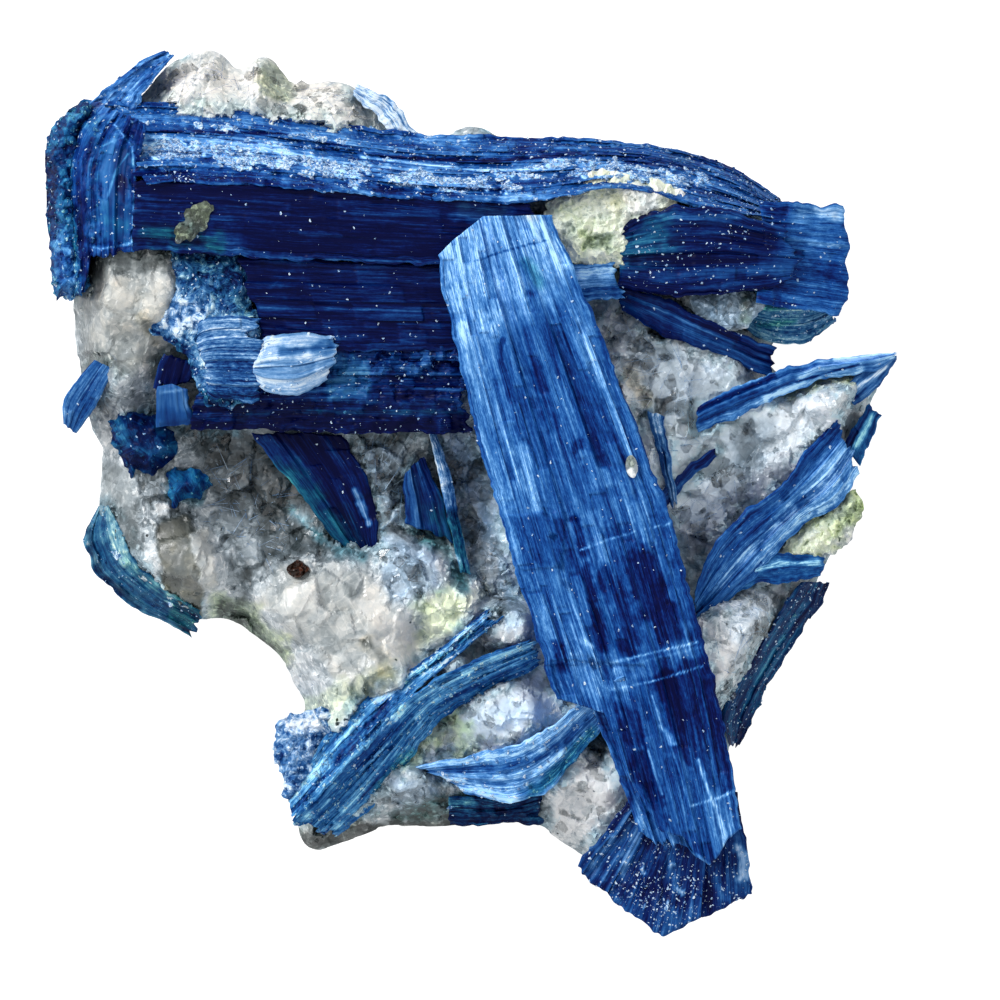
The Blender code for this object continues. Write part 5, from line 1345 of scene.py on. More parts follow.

# %% [markdown]
# The colour of the quartz changes from place to place. It is beige and smooth at the left, grey and
# glassy in the hollow beside the small blades, where painted shade under the front bar darkens it
# further, white in the big lump below them, and stained green where it touches the lower bundle.
# Painted shade also darkens it along the top of the left lump, beside the great blade's left side,
# just below the slant blade and in a hollow beside the lower plate. A few single crystals stand out
# as blocks and bars.

# %% Named places of the quartz
# beside the great blade's left side, painted shade in a darker grey, with a bluer stripe
# between the lower bundles, and a lowered hollow beside the lower plate painted dark as shade
# grey, glassy hollow, its darkness partly painted shade under the front bar
# left lump, with a band of painted shade along its top under the blades' edges
# right of the great blade; just below the slant blade a darker grey patch, partly painted shade, and a dark
# pit at its edge, painted shade
QUARTZ_PLACES = """
# back edge
7 2 tone=0.9: 14,12 20,8 24,9 33,11 39,15
8 2 warm=0.35: 14,12 20,8 24,9 33,11 39,15
0 0.8 tone=0.5 teal=0.45: 25.5,6 28.8,6.2 29.2,9.4 26,9.4
# left lump
0 2 tone=0.5 warm=0.5 calm=0.6: 6.8,25 14,24.6 17.6,28 16,36 8.4,39
3.4 1.4 tone=0.32 warm=0.5: 9.6,26 13,25.4 17.6,26.6
1.6 0.8 tone=0.62: 12,28.6 15.6,28.2 15,30.4
0.5 0.4 tone=0.3: 14.2,31.8 15.4,34.2
1.2 0.6 warm=1: 14.2,31.8 15.4,34.2
2.4 1.4 tone=0.58: 9,30 13,31
3 1.4 tone=0.4: 8,35 11,40 16,40.6
# dark cluster and left terrace
0 1 tone=0.16 teal=0.3 frost=1: 12.3,41 16,41 17.2,45 14,47.5 12,45
0 0.8 tone=0.3 frost=1 teal=0.5: 16.3,47 20.5,47.4 20,50.5 16.6,50.2
0 1 tone=0.34 warm=0.2 calm=0.6: 9.6,46.6 13.6,46 13.8,55 10.6,56
2.4 1.2 tone=0.3: 14,48 18,52.4
0 0.3 tone=0.96 rise=0.5: 15.3,50.4 16.8,50.2 16.7,51.7 15.5,51.8
# the tan block and the white bar
0 0.3 tone=0.22 warm=0.95 calm=0.9 rise=0.5: 15.2,52.4 18.4,51.6 20.4,54.4 20.4,59 19.8,61.7 \
  16.4,59.4
0 0.3 tone=0.6 warm=0.4 calm=0.8 rise=0.6: 18.8,53.4 20.6,52.8 21.8,58.6 20.2,59.2
# grey, glassy hollow
0 1.6 tone=0.12: 18.5,43 27,43 32,50 33.6,55.4 28,56 24,60 22,52
0 1.2 calm=0.55: 19,43.6 27,43.4 32,50 33.4,55 28,56 24,60 21.6,52
2 1 tone=0.36: 21.6,52 25,53.6 26,57
0 1 tone=0.28 frost=0.4: 34,43 40.4,43 40.6,52 38.4,52.4 36.6,47
1.8 0.8 tone=0.22: 22,61.4 24.4,62.4 27.6,65.6
3.4 1.2 teal=0.6: 22,61.4 24.4,62.4 27.6,65.6
0 1.2 tone=0: 25.4,49.4 29,50 33,54.6 30.4,55.8 26,56.4
# the white lump
0 1.6 tone=0.6: 26,60 29,56 36,56 41,62 42,67 36,69.6 30,68.6
3 1.4 tone=0.82: 35,59 38.6,61 41,66
1.6 0.6 tone=0.5: 32.6,56.6 35,57.4 35.4,59
2 1 tone=0.68: 28,64 31,67.6
0 1.2 calm=0.7 warm=0.35: 25.6,60 28,56.6 36,56.6 41.6,62 42,67 36,70
0.8 0.4 tone=0.26: 36.8,64.4 38.2,65.8 38.4,67.2
1.4 0.6 warm=0.8: 36.8,64.4 38.2,65.8 38.4,67.2
0 1 tone=0.72 frost=0.4: 37,53 43.6,53.4 44.6,59 39,61
0 1.4 teal=0.5: 41,60.4 45,58 48.6,59 46.4,63 42,65.4
0 0.8 tone=1: 42.6,59.4 48.4,58.4 47,62 42.6,65
0 1 teal=0.4 tone=0.58: 29,70 33,68.6 38,66.6 40,67 36,70.6 33,74 30,76
# smoky folds beside the great blade
0 1 tone=0.36: 46,50 50,54 51.6,60 50,62.6 47,58
3 1.4 frost=0.5: 46,44 50,54 51.6,62
3 tone=0.3: 43.6,45 47,47
# between the lower bundles
0 1 tone=1 frost=0.3: 45,71.6 54,66.6 56.6,70 50,74.6 45.6,74.8
2.6 1.2 frost=0.4 calm=0.3: 48.6,72.4 53,71
2.6 1.2 teal=0.7: 41,75.6 45,71.6 46.4,75
0 0.8 tone=0.5 frost=0.35: 38.4,78 43.6,77 43.8,81 39.6,81.6
0 1 tone=0.2 teal=0.6 frost=0.8: 38,81.6 46,79.6 53.6,80.4 54,82.6 40,82.6
2.4 1 tone=0.03: 29,84.4 36,83.8 46,83
3 1 warm=0.6: 29,84.4 36,83.8 46,83
0 0.8 tone=0.14 rise=-2: 58.4,72.6 60.8,72.2 60.8,76.6 58.8,76.8
0 1.4 tone=0.96 calm=0.3: 56.6,76.4 62.6,76 64,80 59,85 54.6,83.4
# right of the great blade
0 2 tone=0.78 frost=0.25: 61.4,32 76.6,36 78,48 70,56 66.6,50
0 1.4 tone=0.46 frost=0.25: 73,42 80,41.4 79,46.6 74,49
0 1 tone=1 frost=0.35: 63.4,41.4 67,42 69,50 69,58 67.4,58
0 1.6 calm=0.75: 62,32 70,36 80,42 74,48 69.6,57 66,46
0 1.6 tone=0.54 frost=0.2: 61,32 66,33 69,38 66,41 63,38
1.2 0.6 tone=0.18 rise=-1.2: 65.2,33 66.2,33.4
0 0.5 tone=0.22 calm=0.8: 66.2,40 69.2,40 69,41.6 66.4,41.4
0.6 0.4 tone=0.3: 63,37.2 63.8,38.6 64.6,39.8
1.4 0.6 warm=0.9: 63,37.2 63.8,38.6 64.6,39.8
1.6 0.8 tone=0.86: 60.6,33 62.6,36
0 1.4 tone=0.74 frost=0.15: 78,41 84.6,39 86,43 80,46 76,49
0 1 tone=1: 79.6,40 85,39 84.4,43
0 1.6 tone=0.88 frost=0.2: 69.6,63 78.6,58 79.4,62 73,71
0 1 tone=1 frost=0: 69.8,62 73.6,62.6 73,70 70.8,69
2 1 tone=0.7: 52,15.6 60,16.6 70,20.6
# grains and fibres that lie loose
8 3 crumbs=0.5: 60,33 66,42 72,50
8 3 crumbs=0.1: 24,46 30,56
6 2 crumbs=0.7: 40,57 47,60
6 2 crumbs=0.6: 58,76 60,83
7 2 fibres=1: 62,34 68,42 70,52
0 2 fibres=0.9: 21,45 25,45 30,53 26,57 21,52
2.6 1.4 fibres=0.8: 36.4,45 39.6,51
4 2 fibres=0.6: 72,66 76,61
1.2 1 frost=1 teal=0.5 tone=0.4: 29,51 33,54.8 36.4,55.4
1.2 1 frost=1 teal=0.6 tone=0.42: 41,53 44.6,55 46.4,59
5 clear=0.4: 22,44 28,50
5 clear=0.9: 36,45 39,52 41,58
8 3 clear=0.8: 61,33 70,42 74,40 71,52
6 2 clear=0.6: 58,78 60,83
5 clear=0.6: 50,71 47,73
6 2 clear=0.6: 72,68 77,60
5 clear=0.5: 15,9 22,8 36,12
6 2 fibres=0.8 crumbs=0.3: 15,10 22,9 36,12
2 tone=0.92 calm=0.5: 41,68.4 44,66.4 47.4,65.4
2 teal=0.6 warm=0.3 tone=1: 79,38.6 87,37
1.8 1 tone=0.86: 49,63.4 53,62
"""

# %% [markdown]
# The sheet's points are scattered evenly and joined to triangles, because a grid would show as
# steps along the grains. An outline of even points comes first, drawn back a little where grains
# broke away.

# %% The quartz mesh
GRAIN_GAP, HIDDEN_GAP, RIM_GAP, WALL_ROWS = 0.21, 1.6, 0.32, 22
RIM_LEVEL = 14.5  # the height at which the rim's own raggedness is drawn


def ring_of(outline, gap):
    """Even points round a closed outline, the inward direction at each and the distance run."""
    line = np.array([*outline, outline[0]], float)
    runs = np.concatenate(([0.0], np.cumsum(np.linalg.norm(np.diff(line, axis=0), axis=1))))
    many = round(runs[-1] / gap)
    run = np.arange(many) * runs[-1] / many
    points = np.stack([np.interp(run, runs, line[:, n]) for n in (0, 1)], -1)
    smooth = sum(np.roll(points, k, axis=0) for k in range(-3, 4)) / 7.0
    ahead = sum(np.roll(smooth, -k, axis=0) - np.roll(smooth, k, axis=0) for k in (2, 4, 6))
    ahead /= np.linalg.norm(ahead, axis=1)[:, None]
    area = sum(a[0] * b[1] - b[0] * a[1] for a, b in zip(line, line[1:]))
    inward = np.column_stack((-ahead[:, 1], ahead[:, 0])) * math.copysign(1.0, area)
    return smooth, inward, run


def scattered(seed, low, high, gap):
    i, j = np.meshgrid(*(np.arange(int((b - a) / gap)) for a, b in zip(low, high)))
    x = low[0] + (i + 0.5 * (j % 2) + 0.6 * (hashed(seed, i, j) - 0.5)) * gap
    y = low[1] + (j + 0.6 * (hashed(seed + 1, i, j) - 0.5)) * gap
    return np.column_stack((x.ravel(), y.ravel()))


def well_inside(spots, outline, margin):
    spots = spots[inside(spots, outline)]
    return spots[edge_distance(spots, outline) > margin]


def triangles_in(ring, points):
    every = np.concatenate((ring, points))
    edges = [(n, (n + 1) % len(ring)) for n in range(len(ring))]
    found = delaunay_2d_cdt([Vector(p) for p in every.tolist()], edges, [], 1, 1e-7)
    if len(found[0]) != len(every):
        print("the outline crosses itself:", len(found[0]) - len(every), "points more")
    return np.array([tuple(v) for v in found[0]]), [tuple(face) for face in found[2]]


def edge_depth(xy, outline):
    """The distance to the outline. Its own points come first and lie at 0."""
    depth = edge_distance(xy, outline)
    depth[: len(outline)] = 0.0
    return depth


ring, inward, run = ring_of(MATRIX_OUTLINE, RIM_GAP)
wall_share = np.linspace(0.0, 1.0, WALL_ROWS)


def rim_push(height):
    """How far the wall stands back from the outline at a height."""
    relief, tone = grain_relief(300, run, height, 0.0)
    return 0.02 + 0.36 * (0.55 - relief).clip(0.0, 1.6), tone


push, _ = rim_push(np.full(len(run), RIM_LEVEL))
rim = ring + inward * push[:, None] * 0.6
low, high = ring.min(axis=0), ring.max(axis=0)
spots, coarse = scattered(40, low, high, GRAIN_GAP), scattered(42, low, high, HIDDEN_GAP)
spots = np.concatenate((spots[~hidden[cells_of(spots)]], coarse[hidden[cells_of(coarse)]]))
closed_rim = [tuple(p) for p in rim]
top_xy, top_faces = triangles_in(rim, well_inside(spots, closed_rim, 0.6 * GRAIN_GAP))
print("quartz top", len(top_xy), "points", len(top_faces), "faces")

# %% [markdown]
# Heights come next: the soft form, the grains and the blocks, with a drop wherever a blade lies.
# The wall below the rim breaks back grain by grain, and the underside slopes to the flat back.

# %% Heights, walls and back of the quartz
BURIED = 0.4  # a blade that lies this much lower than the quartz is covered by it
HILL, SUNK, OUT_OF_REACH = 0.1, 0.5, 1.6  # the quartz over a buried blade, under one, and far under it
LOWEST_TOP, QUARTZ_TONE, BACK_GAP = 12.0, 0.63, 1.7
quartz_layers = {layer: np.zeros(len(top_xy)) for layer in (*LAYERS, "rise")}
quartz_layers["tone"] += QUARTZ_TONE
paint_on(quartz_layers, top_xy, QUARTZ_PLACES)
rim_depth = edge_depth(top_xy, closed_rim)
relief, grain_tone = grain_relief(200, *top_xy.T, quartz_layers["calm"])
soft_z = quartz_height(top_xy, rim_depth)
top_z = soft_z + relief * smooth_step(0.4 + rim_depth / 2.0) + quartz_layers["rise"]
cell = cells_of(top_xy)
over = blades_over[cell]
crust = 0.5 * noise(73, *(top_xy.T / 1.6)) + 0.25 * noise(74, *(top_xy.T / 0.6))
under = covered[cell] & (over > soft_z + crust - BURIED)
top_z = np.where(covered[cell] & ~under, np.maximum(top_z, over + HILL), top_z)
top_z = np.where(under, np.minimum(top_z, over - SUNK), top_z)
top_z = np.where(hidden[cell], np.minimum(top_z, over - OUT_OF_REACH), top_z)
top_z = np.maximum(top_z, LOWEST_TOP)
ragged = noise(71, *(top_xy.T / 0.9)) + 0.6 * noise(72, *(top_xy.T / 0.35))
# Where the quartz meets a blade it is made bluer, less so where it is warm, a little greener and a little
# darker, with more crumbs.
beside = sum(widen(covered, n)[cell].astype(float) for n in (1, 2, 3)) / 3.0
near_blade_share = np.clip(beside * (0.75 + 0.8 * ragged), 0.0, 1.0)
for layer, share in (("frost", 0.5 * (1.0 - quartz_layers["warm"])), ("teal", 0.2), ("crumbs", 0.8)):
    quartz_layers[layer] = np.maximum(quartz_layers[layer], share * near_blade_share)
quartz_layers["tone"] = np.clip(quartz_layers["tone"] + grain_tone - 0.10 * near_blade_share, 0.02, 1.0)
for layer in ("crumbs", "clear", "fibres", "grit"):
    quartz_layers[layer] *= ~(under | (rim_depth < 0.4))

many = len(rim)
wall_points, wall_layers = [], {layer: [] for layer in LAYERS}
for share in wall_share[1:]:
    z = top_z[:many] + (BACK_LIFT - top_z[:many]) * share
    push, tone = rim_push(z)
    blend_in = min(1.0, 0.6 + 2.0 * share)
    wall_points.append(np.column_stack((ring + inward * push[:, None] * blend_in, z)))
    for layer in LAYERS:
        wall_layers[layer].append(quartz_layers[layer][:many])
    wall_layers["tone"][-1] = np.clip(0.55 + 0.35 * (wall_layers["tone"][-1] - 0.6) + tone, 0.02, 1.0)
foot = wall_points[-1][:, :2]
closed_foot = [tuple(p) for p in foot]
back_xy, back_faces = triangles_in(foot, well_inside(scattered(44, low, high, BACK_GAP), closed_foot, 0.9))
back_depth = edge_depth(back_xy, closed_foot)
slope = np.clip(1.0 - back_depth / BACK_RUN, 0.0, 1.0)
lumps, back_tone = grain_relief(400, *back_xy.T, 0.0)
back_z = np.maximum(BACK_LIFT * slope + 0.5 * lumps * (slope > 0.0) * (back_depth > 0.0), 0.0)

rings = [np.arange(many)] + [len(top_xy) + k * many + np.arange(many) for k in range(WALL_ROWS - 1)]
quartz_faces = [face[::-1] for face in top_faces] + walls_between(rings)  # y runs down the sheet
many_back = len(back_xy) - many
places = np.concatenate((rings[-1], rings[-1][-1] + 1 + np.arange(many_back)))
quartz_faces += [tuple(int(places[n]) for n in face) for face in back_faces]
back_points = np.column_stack((back_xy, back_z))[many:]
quartz_points = np.concatenate((np.column_stack((top_xy, top_z)), *wall_points, back_points))
all_layers = {
    layer: np.concatenate((quartz_layers[layer], *wall_layers[layer], np.zeros(many_back)))
    for layer in LAYERS
}
all_layers["tone"][-many_back:] = 0.5 + back_tone[many:]
quartz = mesh_object("quartz_grains", quartz_points, quartz_faces, quartz_points.astype(np.float32),
                     all_layers, QUARTZ["quartz"], sharp=14.0)
stand_for(quartz, "quartz", "quartz_matrix")
grounds.append(("quartz", quartz_points[: len(top_xy)], quartz_faces[: len(top_faces)], quartz_layers))
print("quartz", len(quartz.data.vertices), "points", len(quartz.data.polygons), "faces")

# %% [markdown]
# ## Crusts and the red grain
#
# Two patches of quartz are stained green, and one small garnet sits in the white lump. Each is a
# lump of finer grains than the quartz around it, set into the stone.


# %% Small lumps
LUMP_COURSES = (0.08, 0.2, 0.35, 0.55, 0.8, 1.0)


def lump(name, slot, outline, height, floor, tone, layers="", look=None, size=0.7, relief=0.5, dome=1.5,
         gap=0.2, uneven=0.18, stands=True):
    """A grainy lump with a flat underside, replacing the CAD node of its name."""
    seed = sum(map(ord, name))
    blue = slot.startswith("kyanite")
    broken = gap > 0.15 and slot != "garnet"
    gap *= 1.0
    edge, inward, run = ring_of(pairs(outline), gap)
    if broken:
        bite = 0.28 * noise(seed + 6, run / 0.8, run * 0.0) + 0.14 * noise(seed + 7, run / 0.35, run * 0.0)
        edge = edge + inward * bite[:, None]
    closed = [tuple(p) for p in edge]
    spots = scattered(seed, edge.min(axis=0), edge.max(axis=0), gap)
    xy, faces = triangles_in(edge, well_inside(spots, closed, 0.5 * gap))
    depth = edge_depth(xy, closed)
    values = {layer: np.zeros(len(xy)) for layer in (*LAYERS, "rise")}
    values["tone"] += tone
    paint_on(values, xy, layers)
    a, b = xy.T / size
    number, block, seam = grains(seed + 1, a + 0.4 * noise(seed + 5, a, b), b)
    fine_number, fine, _ = grains(seed + 2, a * 2.3, b * 2.3)
    z = height + dome * (smooth_step(0.3 + depth / 2.2) - 1.0) + relief * block + 0.4 * relief * fine
    cleft = 0.25 if blue else 1.0
    z = z - 0.35 * relief * cleft * smooth_step(1.0 - seam / 0.15) + values["rise"]
    own = (number - 0.5) + 0.7 * (fine_number - 0.5) - 0.5 * cleft * smooth_step(1.0 - seam / 0.1)
    values["tone"] = np.clip(values["tone"] + uneven * own, 0.0, 1.0)
    many, courses, points = len(edge), len(LUMP_COURSES), [np.column_stack((xy, z))]
    middle = edge.mean(axis=0)
    for share in LUMP_COURSES:
        inwards = 0.12 * share + 0.05 * noise(seed + 3, np.arange(many) / 3.0, np.full(many, share * 9.0))
        ring_xy = edge + (middle - edge) * inwards[:, None].clip(0.0, 1.0)
        points.append(np.column_stack((ring_xy, z[:many] + (floor - z[:many]) * share)))
    rings = [np.arange(many)] + [len(xy) + k * many + np.arange(many) for k in range(courses)]
    tops = [face[::-1] for face in faces]
    faces = tops + walls_between(rings) + [rings[-1].tolist()]
    points = np.concatenate(points)
    turn = 6.283 * np.concatenate((number, *[number[:many]] * courses))
    x, y = points[:, 0], points[:, 1]
    onwards, sideways = x * np.cos(turn) + y * np.sin(turn), y * np.cos(turn) - x * np.sin(turn)
    grain = np.column_stack((onwards, sideways, turn))
    full = {key: np.concatenate((values[key], *[values[key][:many]] * courses)) for key in LAYERS}
    piece = mesh_object(name + "_grains", points, faces, grain, full, FINISHES[look or slot], sharp=28.0)
    stand_for(piece, slot, *([name] if stands else []))
    if blue:
        grounds.append(("blade", points[: len(xy)], tops, full))


lump("green_crust_top", "green_quartz",
     "54.6,20.6 57,18.2 60,16.8 64,17.6 68.6,19 67,21.4 63.2,23 62.8,26.8 57.6,26.6 55,24.4 53.8,22",
     height=28, floor=19, tone=0.93, relief=0.45, layers="""
0 1 teal=0.4: 54,17 68,17 68,27 54,27
0 0.6 tone=0.96 teal=0.1 rise=0.5: 62,18.6 66.4,18.6 66,21 62.4,21.6
0 0.6 tone=0.36 teal=0.8 rise=-0.6: 58.2,23.2 61.4,23.6 61,25 58.4,24.8
0 0.6 tone=0.95: 57.6,25.2 60.4,25.2 60.4,26.8
1.8 1 tone=0.8: 55.4,20 57,22.4
3 1.6 warm=0.3: 58,17.6 62,20
""")
lump("green_crust_right", "green_quartz",
     "76.8,56.2 79,54 81,52.2 84,50.2 85.8,48.6 86.6,50.8 85.6,53.4 83.6,55.4 80,56.2", height=22.4,
     floor=14, tone=0.6, relief=0.6, layers="""
4 1.2 teal=0.85: 82,53.4 86,49.6
2.6 1.2 teal=0.5: 79.4,54.8 82.6,53.6
2.4 1.2 tone=0.84: 79.4,54.8 82.6,53.6
""")
lump("olive_grain", "green_quartz",
     "17.4,23 18.4,22.2 18.2,21.4 19,20.6 20.2,20.5 21.5,20.2 21.4,21.3 20.6,21.8 20.8,22.8 19.8,23.2 "
     "19.4,24.4 18.4,24 17.6,24.2", height=30.3, floor=29, tone=0.12, relief=0.22, size=0.5, dome=0.5,
     stands=False, layers="""
0 0.2 teal=0.7 warm=0.3: 17,20 22,20 22,24 17,24
1 0.8 tone=0.08 frost=0.6: 18.4,22.4 20,23.6
""")
lump("garnet_grain", "garnet",
     "28.5,56.7 29.2,56.3 29.7,55.9 30.4,56.4 31,57 30.4,57.4 30,57.9 29.3,57.8 28.6,57.3",
     height=22.9, floor=19, tone=0, relief=0.4, dome=0.4, size=0.4, gap=0.12, layers="""
0 0.2 warm=1: 28,55 31,55 31,59 28,59
""")
lump("crumbly_blade", "kyanite_pale",
     "17.2,25.4 18.6,24.9 21,25.3 24.6,25.1 25.4,27 25.2,28.8 24.8,30.4 26.2,31.4 26.6,33.4 26.2,36 "
     "26.4,38.4 25.2,40.4 22.8,40.9 20.6,40.6 19.8,38.6 18.8,37 18.4,35.4 17,34.2 15.4,33.4 14.6,31.8 "
     "14.8,30.2 16.2,29.6 17.2,28.4 16.6,27", height=27.4, floor=18, tone=0.5, relief=0.4, size=0.8,
     gap=0.16, uneven=0.46, layers="""
0 0.2 frost=0.5 calm=0.3 grit=0.25 flecks=1 teal=0.1: 14,24 27,24 27,41 14,41
0 1.2 tone=0.4 teal=0.3: 17.4,25.4 24.8,25.4 24.8,28 19,28.6
2 1 tone=0.48 teal=0.3: 22,28.4 24.6,31
0 0.8 tone=0.84 frost=0.8 teal=0 calm=0.6: 14.6,30.4 17.4,29 20.4,30 20.4,32.4 17.8,34.2 15.4,33
1.6 1 tone=0.7: 19,29.4 21.6,30.6 23,33
1 0.7 tone=0.8 teal=0.1: 18.6,33.6 20.4,36.4 21,39
0.8 0.6 tone=0.26 teal=0.6: 17.6,34.6 19,37.4
1.6 1 tone=0.36 teal=0.6: 20.4,39.8 25.6,40
""")
lump("sheaf_crust", "kyanite_teal",
     "8.6,9.9 7,10.8 5.6,11.8 4.8,13.4 4.1,15.8 4.3,18.4 4.5,21 5,24 5,27 5.5,29.6 7,29.9 8.8,29 "
     "8.4,26.4 8.8,23 8.2,19.6 8.7,16 8.2,13.4 9.2,11.4", height=25.1, floor=13, look="kyanite_royal",
     tone=0.32, relief=0.4, size=0.8, dome=3.8, gap=0.16, uneven=0.44, stands=False, layers="""
0 0.2 frost=0.2 teal=0.5 calm=0.3 grit=0.3 flecks=0.6: 3,9 10,9 10,31 3,31
2.4 1.2 tone=0.56 teal=0.1: 6.4,24.6 7,29.6
1.2 0.8 tone=0.44: 8.6,10.8 6.4,12.6
1 0.8 tone=0.22: 5,16 5.2,21
""")
lump("left_cluster", "kyanite_deep",
     "10.6,42.2 12.2,41.1 14,41.5 15.6,41.1 16.8,42.8 17.6,44.4 16.8,46 15.4,47.6 13.8,47 12.8,47.8 "
     "12,45.8 11,44.4", height=22.2, floor=14, tone=0.26, relief=0.4, size=1.3, dome=2.4, gap=0.16,
     uneven=0.34, stands=False, layers="""
0 0.2 frost=0.2 teal=0.45 calm=0.3 grit=0.3 flecks=0.2: 10,40 19,40 19,49 10,49
1 0.8 tone=0.56: 11,42 12.4,44
""")
lump("teal_cluster", "kyanite_teal",
     "16.4,47.6 17.2,46.6 18.4,47.2 19.8,46.8 21,47.8 20.4,49 19.8,50 18.2,49.8 17,50.8 16.8,49.4",
     height=21.8, floor=14, look="kyanite_royal", tone=0.36, relief=0.3, size=1.3, dome=2, gap=0.16,
     uneven=0.26, stands=False, layers="""
0 0.2 frost=0.3 teal=0.6 calm=0.3 grit=0.3: 15,46 22,46 22,51 15,51
""")
lump("shelf_quartz", "quartz", "67.4,29.8 69.6,29 75.6,29 76.6,30.2 75.6,31.8 74.2,33.2 72,32.8 69.6,31.4",
     height=25.8, floor=18, tone=0.42, relief=0.5, size=1.3, dome=0.8, stands=False, layers="""
0 0.2 frost=0.5: 69,28 77,28 77,33 69,33
1 0.6 tone=0.38 teal=0.5: 74.6,29.8 74.6,32
""")
# The small white spot at the droplet's lower end is a painted glint.
lump("clear_droplet", "quartz", "62.6,45.8 63.1,45.4 63.6,46 63.8,47 63.4,47.9 62.8,47.6 62.5,46.8",
     height=32.3, floor=31.2, tone=0.5, relief=0.04, size=3, dome=0.8, gap=0.1, uneven=0.05,
     stands=False, layers="""
0.8 0.3 tone=0.45 teal=0.5: 62.7,45.6 63,46.4
0.7 0.25 tone=1: 63,47.1 63.2,47.5
""")
lump("pale_nub", "kyanite_pale",
     "27.1,75 27.8,73.8 27.4,72.8 28.8,71.4 30,71.8 31.4,70.8 33,71 33.4,72.8 32,75 31,77.4 30,79.2 "
     "29,80.4 28.2,79.6 28.4,78 27.5,76.8", height=22.6, floor=13, tone=0.72, relief=0.5, size=0.8,
     gap=0.16, uneven=0.46, layers="""
0 0.2 frost=0.7 calm=0.4 grit=0.5: 26,70 33,70 33,81 26,81
1.2 0.8 tone=0.44: 28,76 29.4,78.6
1.6 0.9 tone=0.9 teal=0 warm=0.1 frost=0.8: 28.8,72.4 32,72
""")

# %% [markdown]
# ## Crumbs, clear grains and fibres
#
# What sits on the surfaces comes in hundreds: white crumbs of quartz along the ridge, blue crumbs
# where laths crushed, loose glassy grains beside the blades, and hair-thin fibres of kyanite in the
# quartz. Geometry Nodes scatter them over a copy of the surfaces, as thickly as the painted layers
# say. One irregular stone with a few flat faces is turned and stretched differently each time, so no
# two look alike, and a fibre is a thin prism laid flat on the surface.


# %% The scattering tree
def random_value(tree, low, high, seed, kind="FLOAT"):
    first, output = (0, 0) if kind == "FLOAT_VECTOR" else (2, 1)
    values = {first: low, first + 1: high, 8: seed}
    return link_from(tree, "FunctionNodeRandomValue", values, data_type=kind).outputs[output]


def scatter_tree(name, fibre):
    """Stones or fibres over the faces of a mesh, as thick as its attribute "density" says."""
    tree = bpy.data.node_groups.new(name, "GeometryNodeTree")
    sockets = [("Geometry", "Geometry", None), ("Density", "Float", 1.0e6), ("Smallest", "Float", 1e-4),
               ("Largest", "Float", 5e-4), ("Thinness", "Float", 0.5), ("Own Tone", "Float", 1.0),
               ("Darkest", "Float", 0.0), ("Palest", "Float", 1.0), ("Seed", "Int", 1),
               ("Finish", "Material", None)]
    for label, kind, value in sockets:
        socket = tree.interface.new_socket(label, in_out="INPUT", socket_type="NodeSocket" + kind)
        if value is not None:
            socket.default_value = value
    tree.interface.new_socket("Geometry", in_out="OUTPUT", socket_type="NodeSocketGeometry")
    given = tree.nodes.new("NodeGroupInput").outputs
    seed = given["Seed"]

    def step(kind, values=(), **settings):
        return link_from(tree, "GeometryNode" + kind, values, **settings).outputs

    def turned(rotation, by):
        turn = link_from(tree, "FunctionNodeRotateRotation", {0: rotation, 1: by}, rotation_space="LOCAL")
        return turn.outputs["Rotation"]

    def ranged(share, low, high):
        return link_from(tree, "ShaderNodeMapRange", {0: share, 3: low, 4: high}).outputs[0]

    dense = step("InputNamedAttribute", {"Name": "density"})["Attribute"]
    dense = times(tree, dense, given["Density"])
    spots = step("DistributePointsOnFaces", {"Mesh": given["Geometry"], "Density": dense, "Seed": seed})
    turn = spots["Rotation"]
    if fibre:
        cone = {"Vertices": 4, "Radius Top": 0.3, "Radius Bottom": 1.0, "Depth": 2.0}
        body = step("MeshCone", cone)["Mesh"]
        turn = turned(turn, (math.pi / 2.0, 0.0, 0.0))
        spin = random_value(tree, (-0.15, -3.1416, 0.0), (0.15, 3.1416, 0.0), seed, "FLOAT_VECTOR")
    else:
        ball = step("MeshIcoSphere", {"Radius": 1.0, "Subdivisions": 1})["Mesh"]
        dent = random_value(tree, (-0.45,) * 3, (0.45,) * 3, seed, "FLOAT_VECTOR")
        body = step("ConvexHull", {0: step("SetPosition", {0: ball, "Offset": dent})["Geometry"]})[0]
        spin = random_value(tree, (-0.6, -0.6, 0.0), (0.6, 0.6, 6.2832), seed, "FLOAT_VECTOR")
    grain = {"Geometry": body, "Name": "grain", "Value": step("InputPosition")[0]}
    body = step("StoreNamedAttribute", grain, data_type="FLOAT_VECTOR", domain="POINT")[0]

    chance = maths(tree, "POWER", random_value(tree, 0.0, 1.0, add(tree, seed, 7.0)), 2.5)
    size = ranged(chance, given["Smallest"], given["Largest"])
    thin = times(tree, size, given["Thinness"])
    if fibre:
        sides = (thin, thin, size)
    else:
        sides = (times(tree, size, random_value(tree, 0.6, 1.0, add(tree, seed, 9.0))), size, thin)
    placed = step("InstanceOnPoints", {
        "Points": spots["Points"], "Instance": body, "Rotation": turned(turn, spin),
        "Scale": link_from(tree, "ShaderNodeCombineXYZ", enumerate(sides)).outputs[0],
    })["Instances"]

    found = step("InputNamedAttribute", {"Name": "tone"})["Attribute"]
    drawn = random_value(tree, given["Darkest"], given["Palest"], add(tree, seed, 11.0))
    near = add(tree, found, minus(tree, drawn, 0.5))
    tone = {"Geometry": placed, "Name": "tone", "Value": ranged(given["Own Tone"], near, drawn)}
    placed = step("StoreNamedAttribute", tone, data_type="FLOAT", domain="INSTANCE")[0]
    solid = step("RealizeInstances", {0: placed})[0]
    finished = step("SetMaterial", {0: solid, "Material": given["Finish"]})[0]
    tree.links.new(finished, tree.nodes.new("NodeGroupOutput").inputs[0])
    return tree


STONES, FIBRES = scatter_tree("Scattered stones", False), scatter_tree("Scattered fibres", True)

# %% [markdown]
# The ground is a bare copy of the surfaces where a layer was painted. After the tree has run, its
# result is kept as a plain mesh, and the ground and the modifier go.


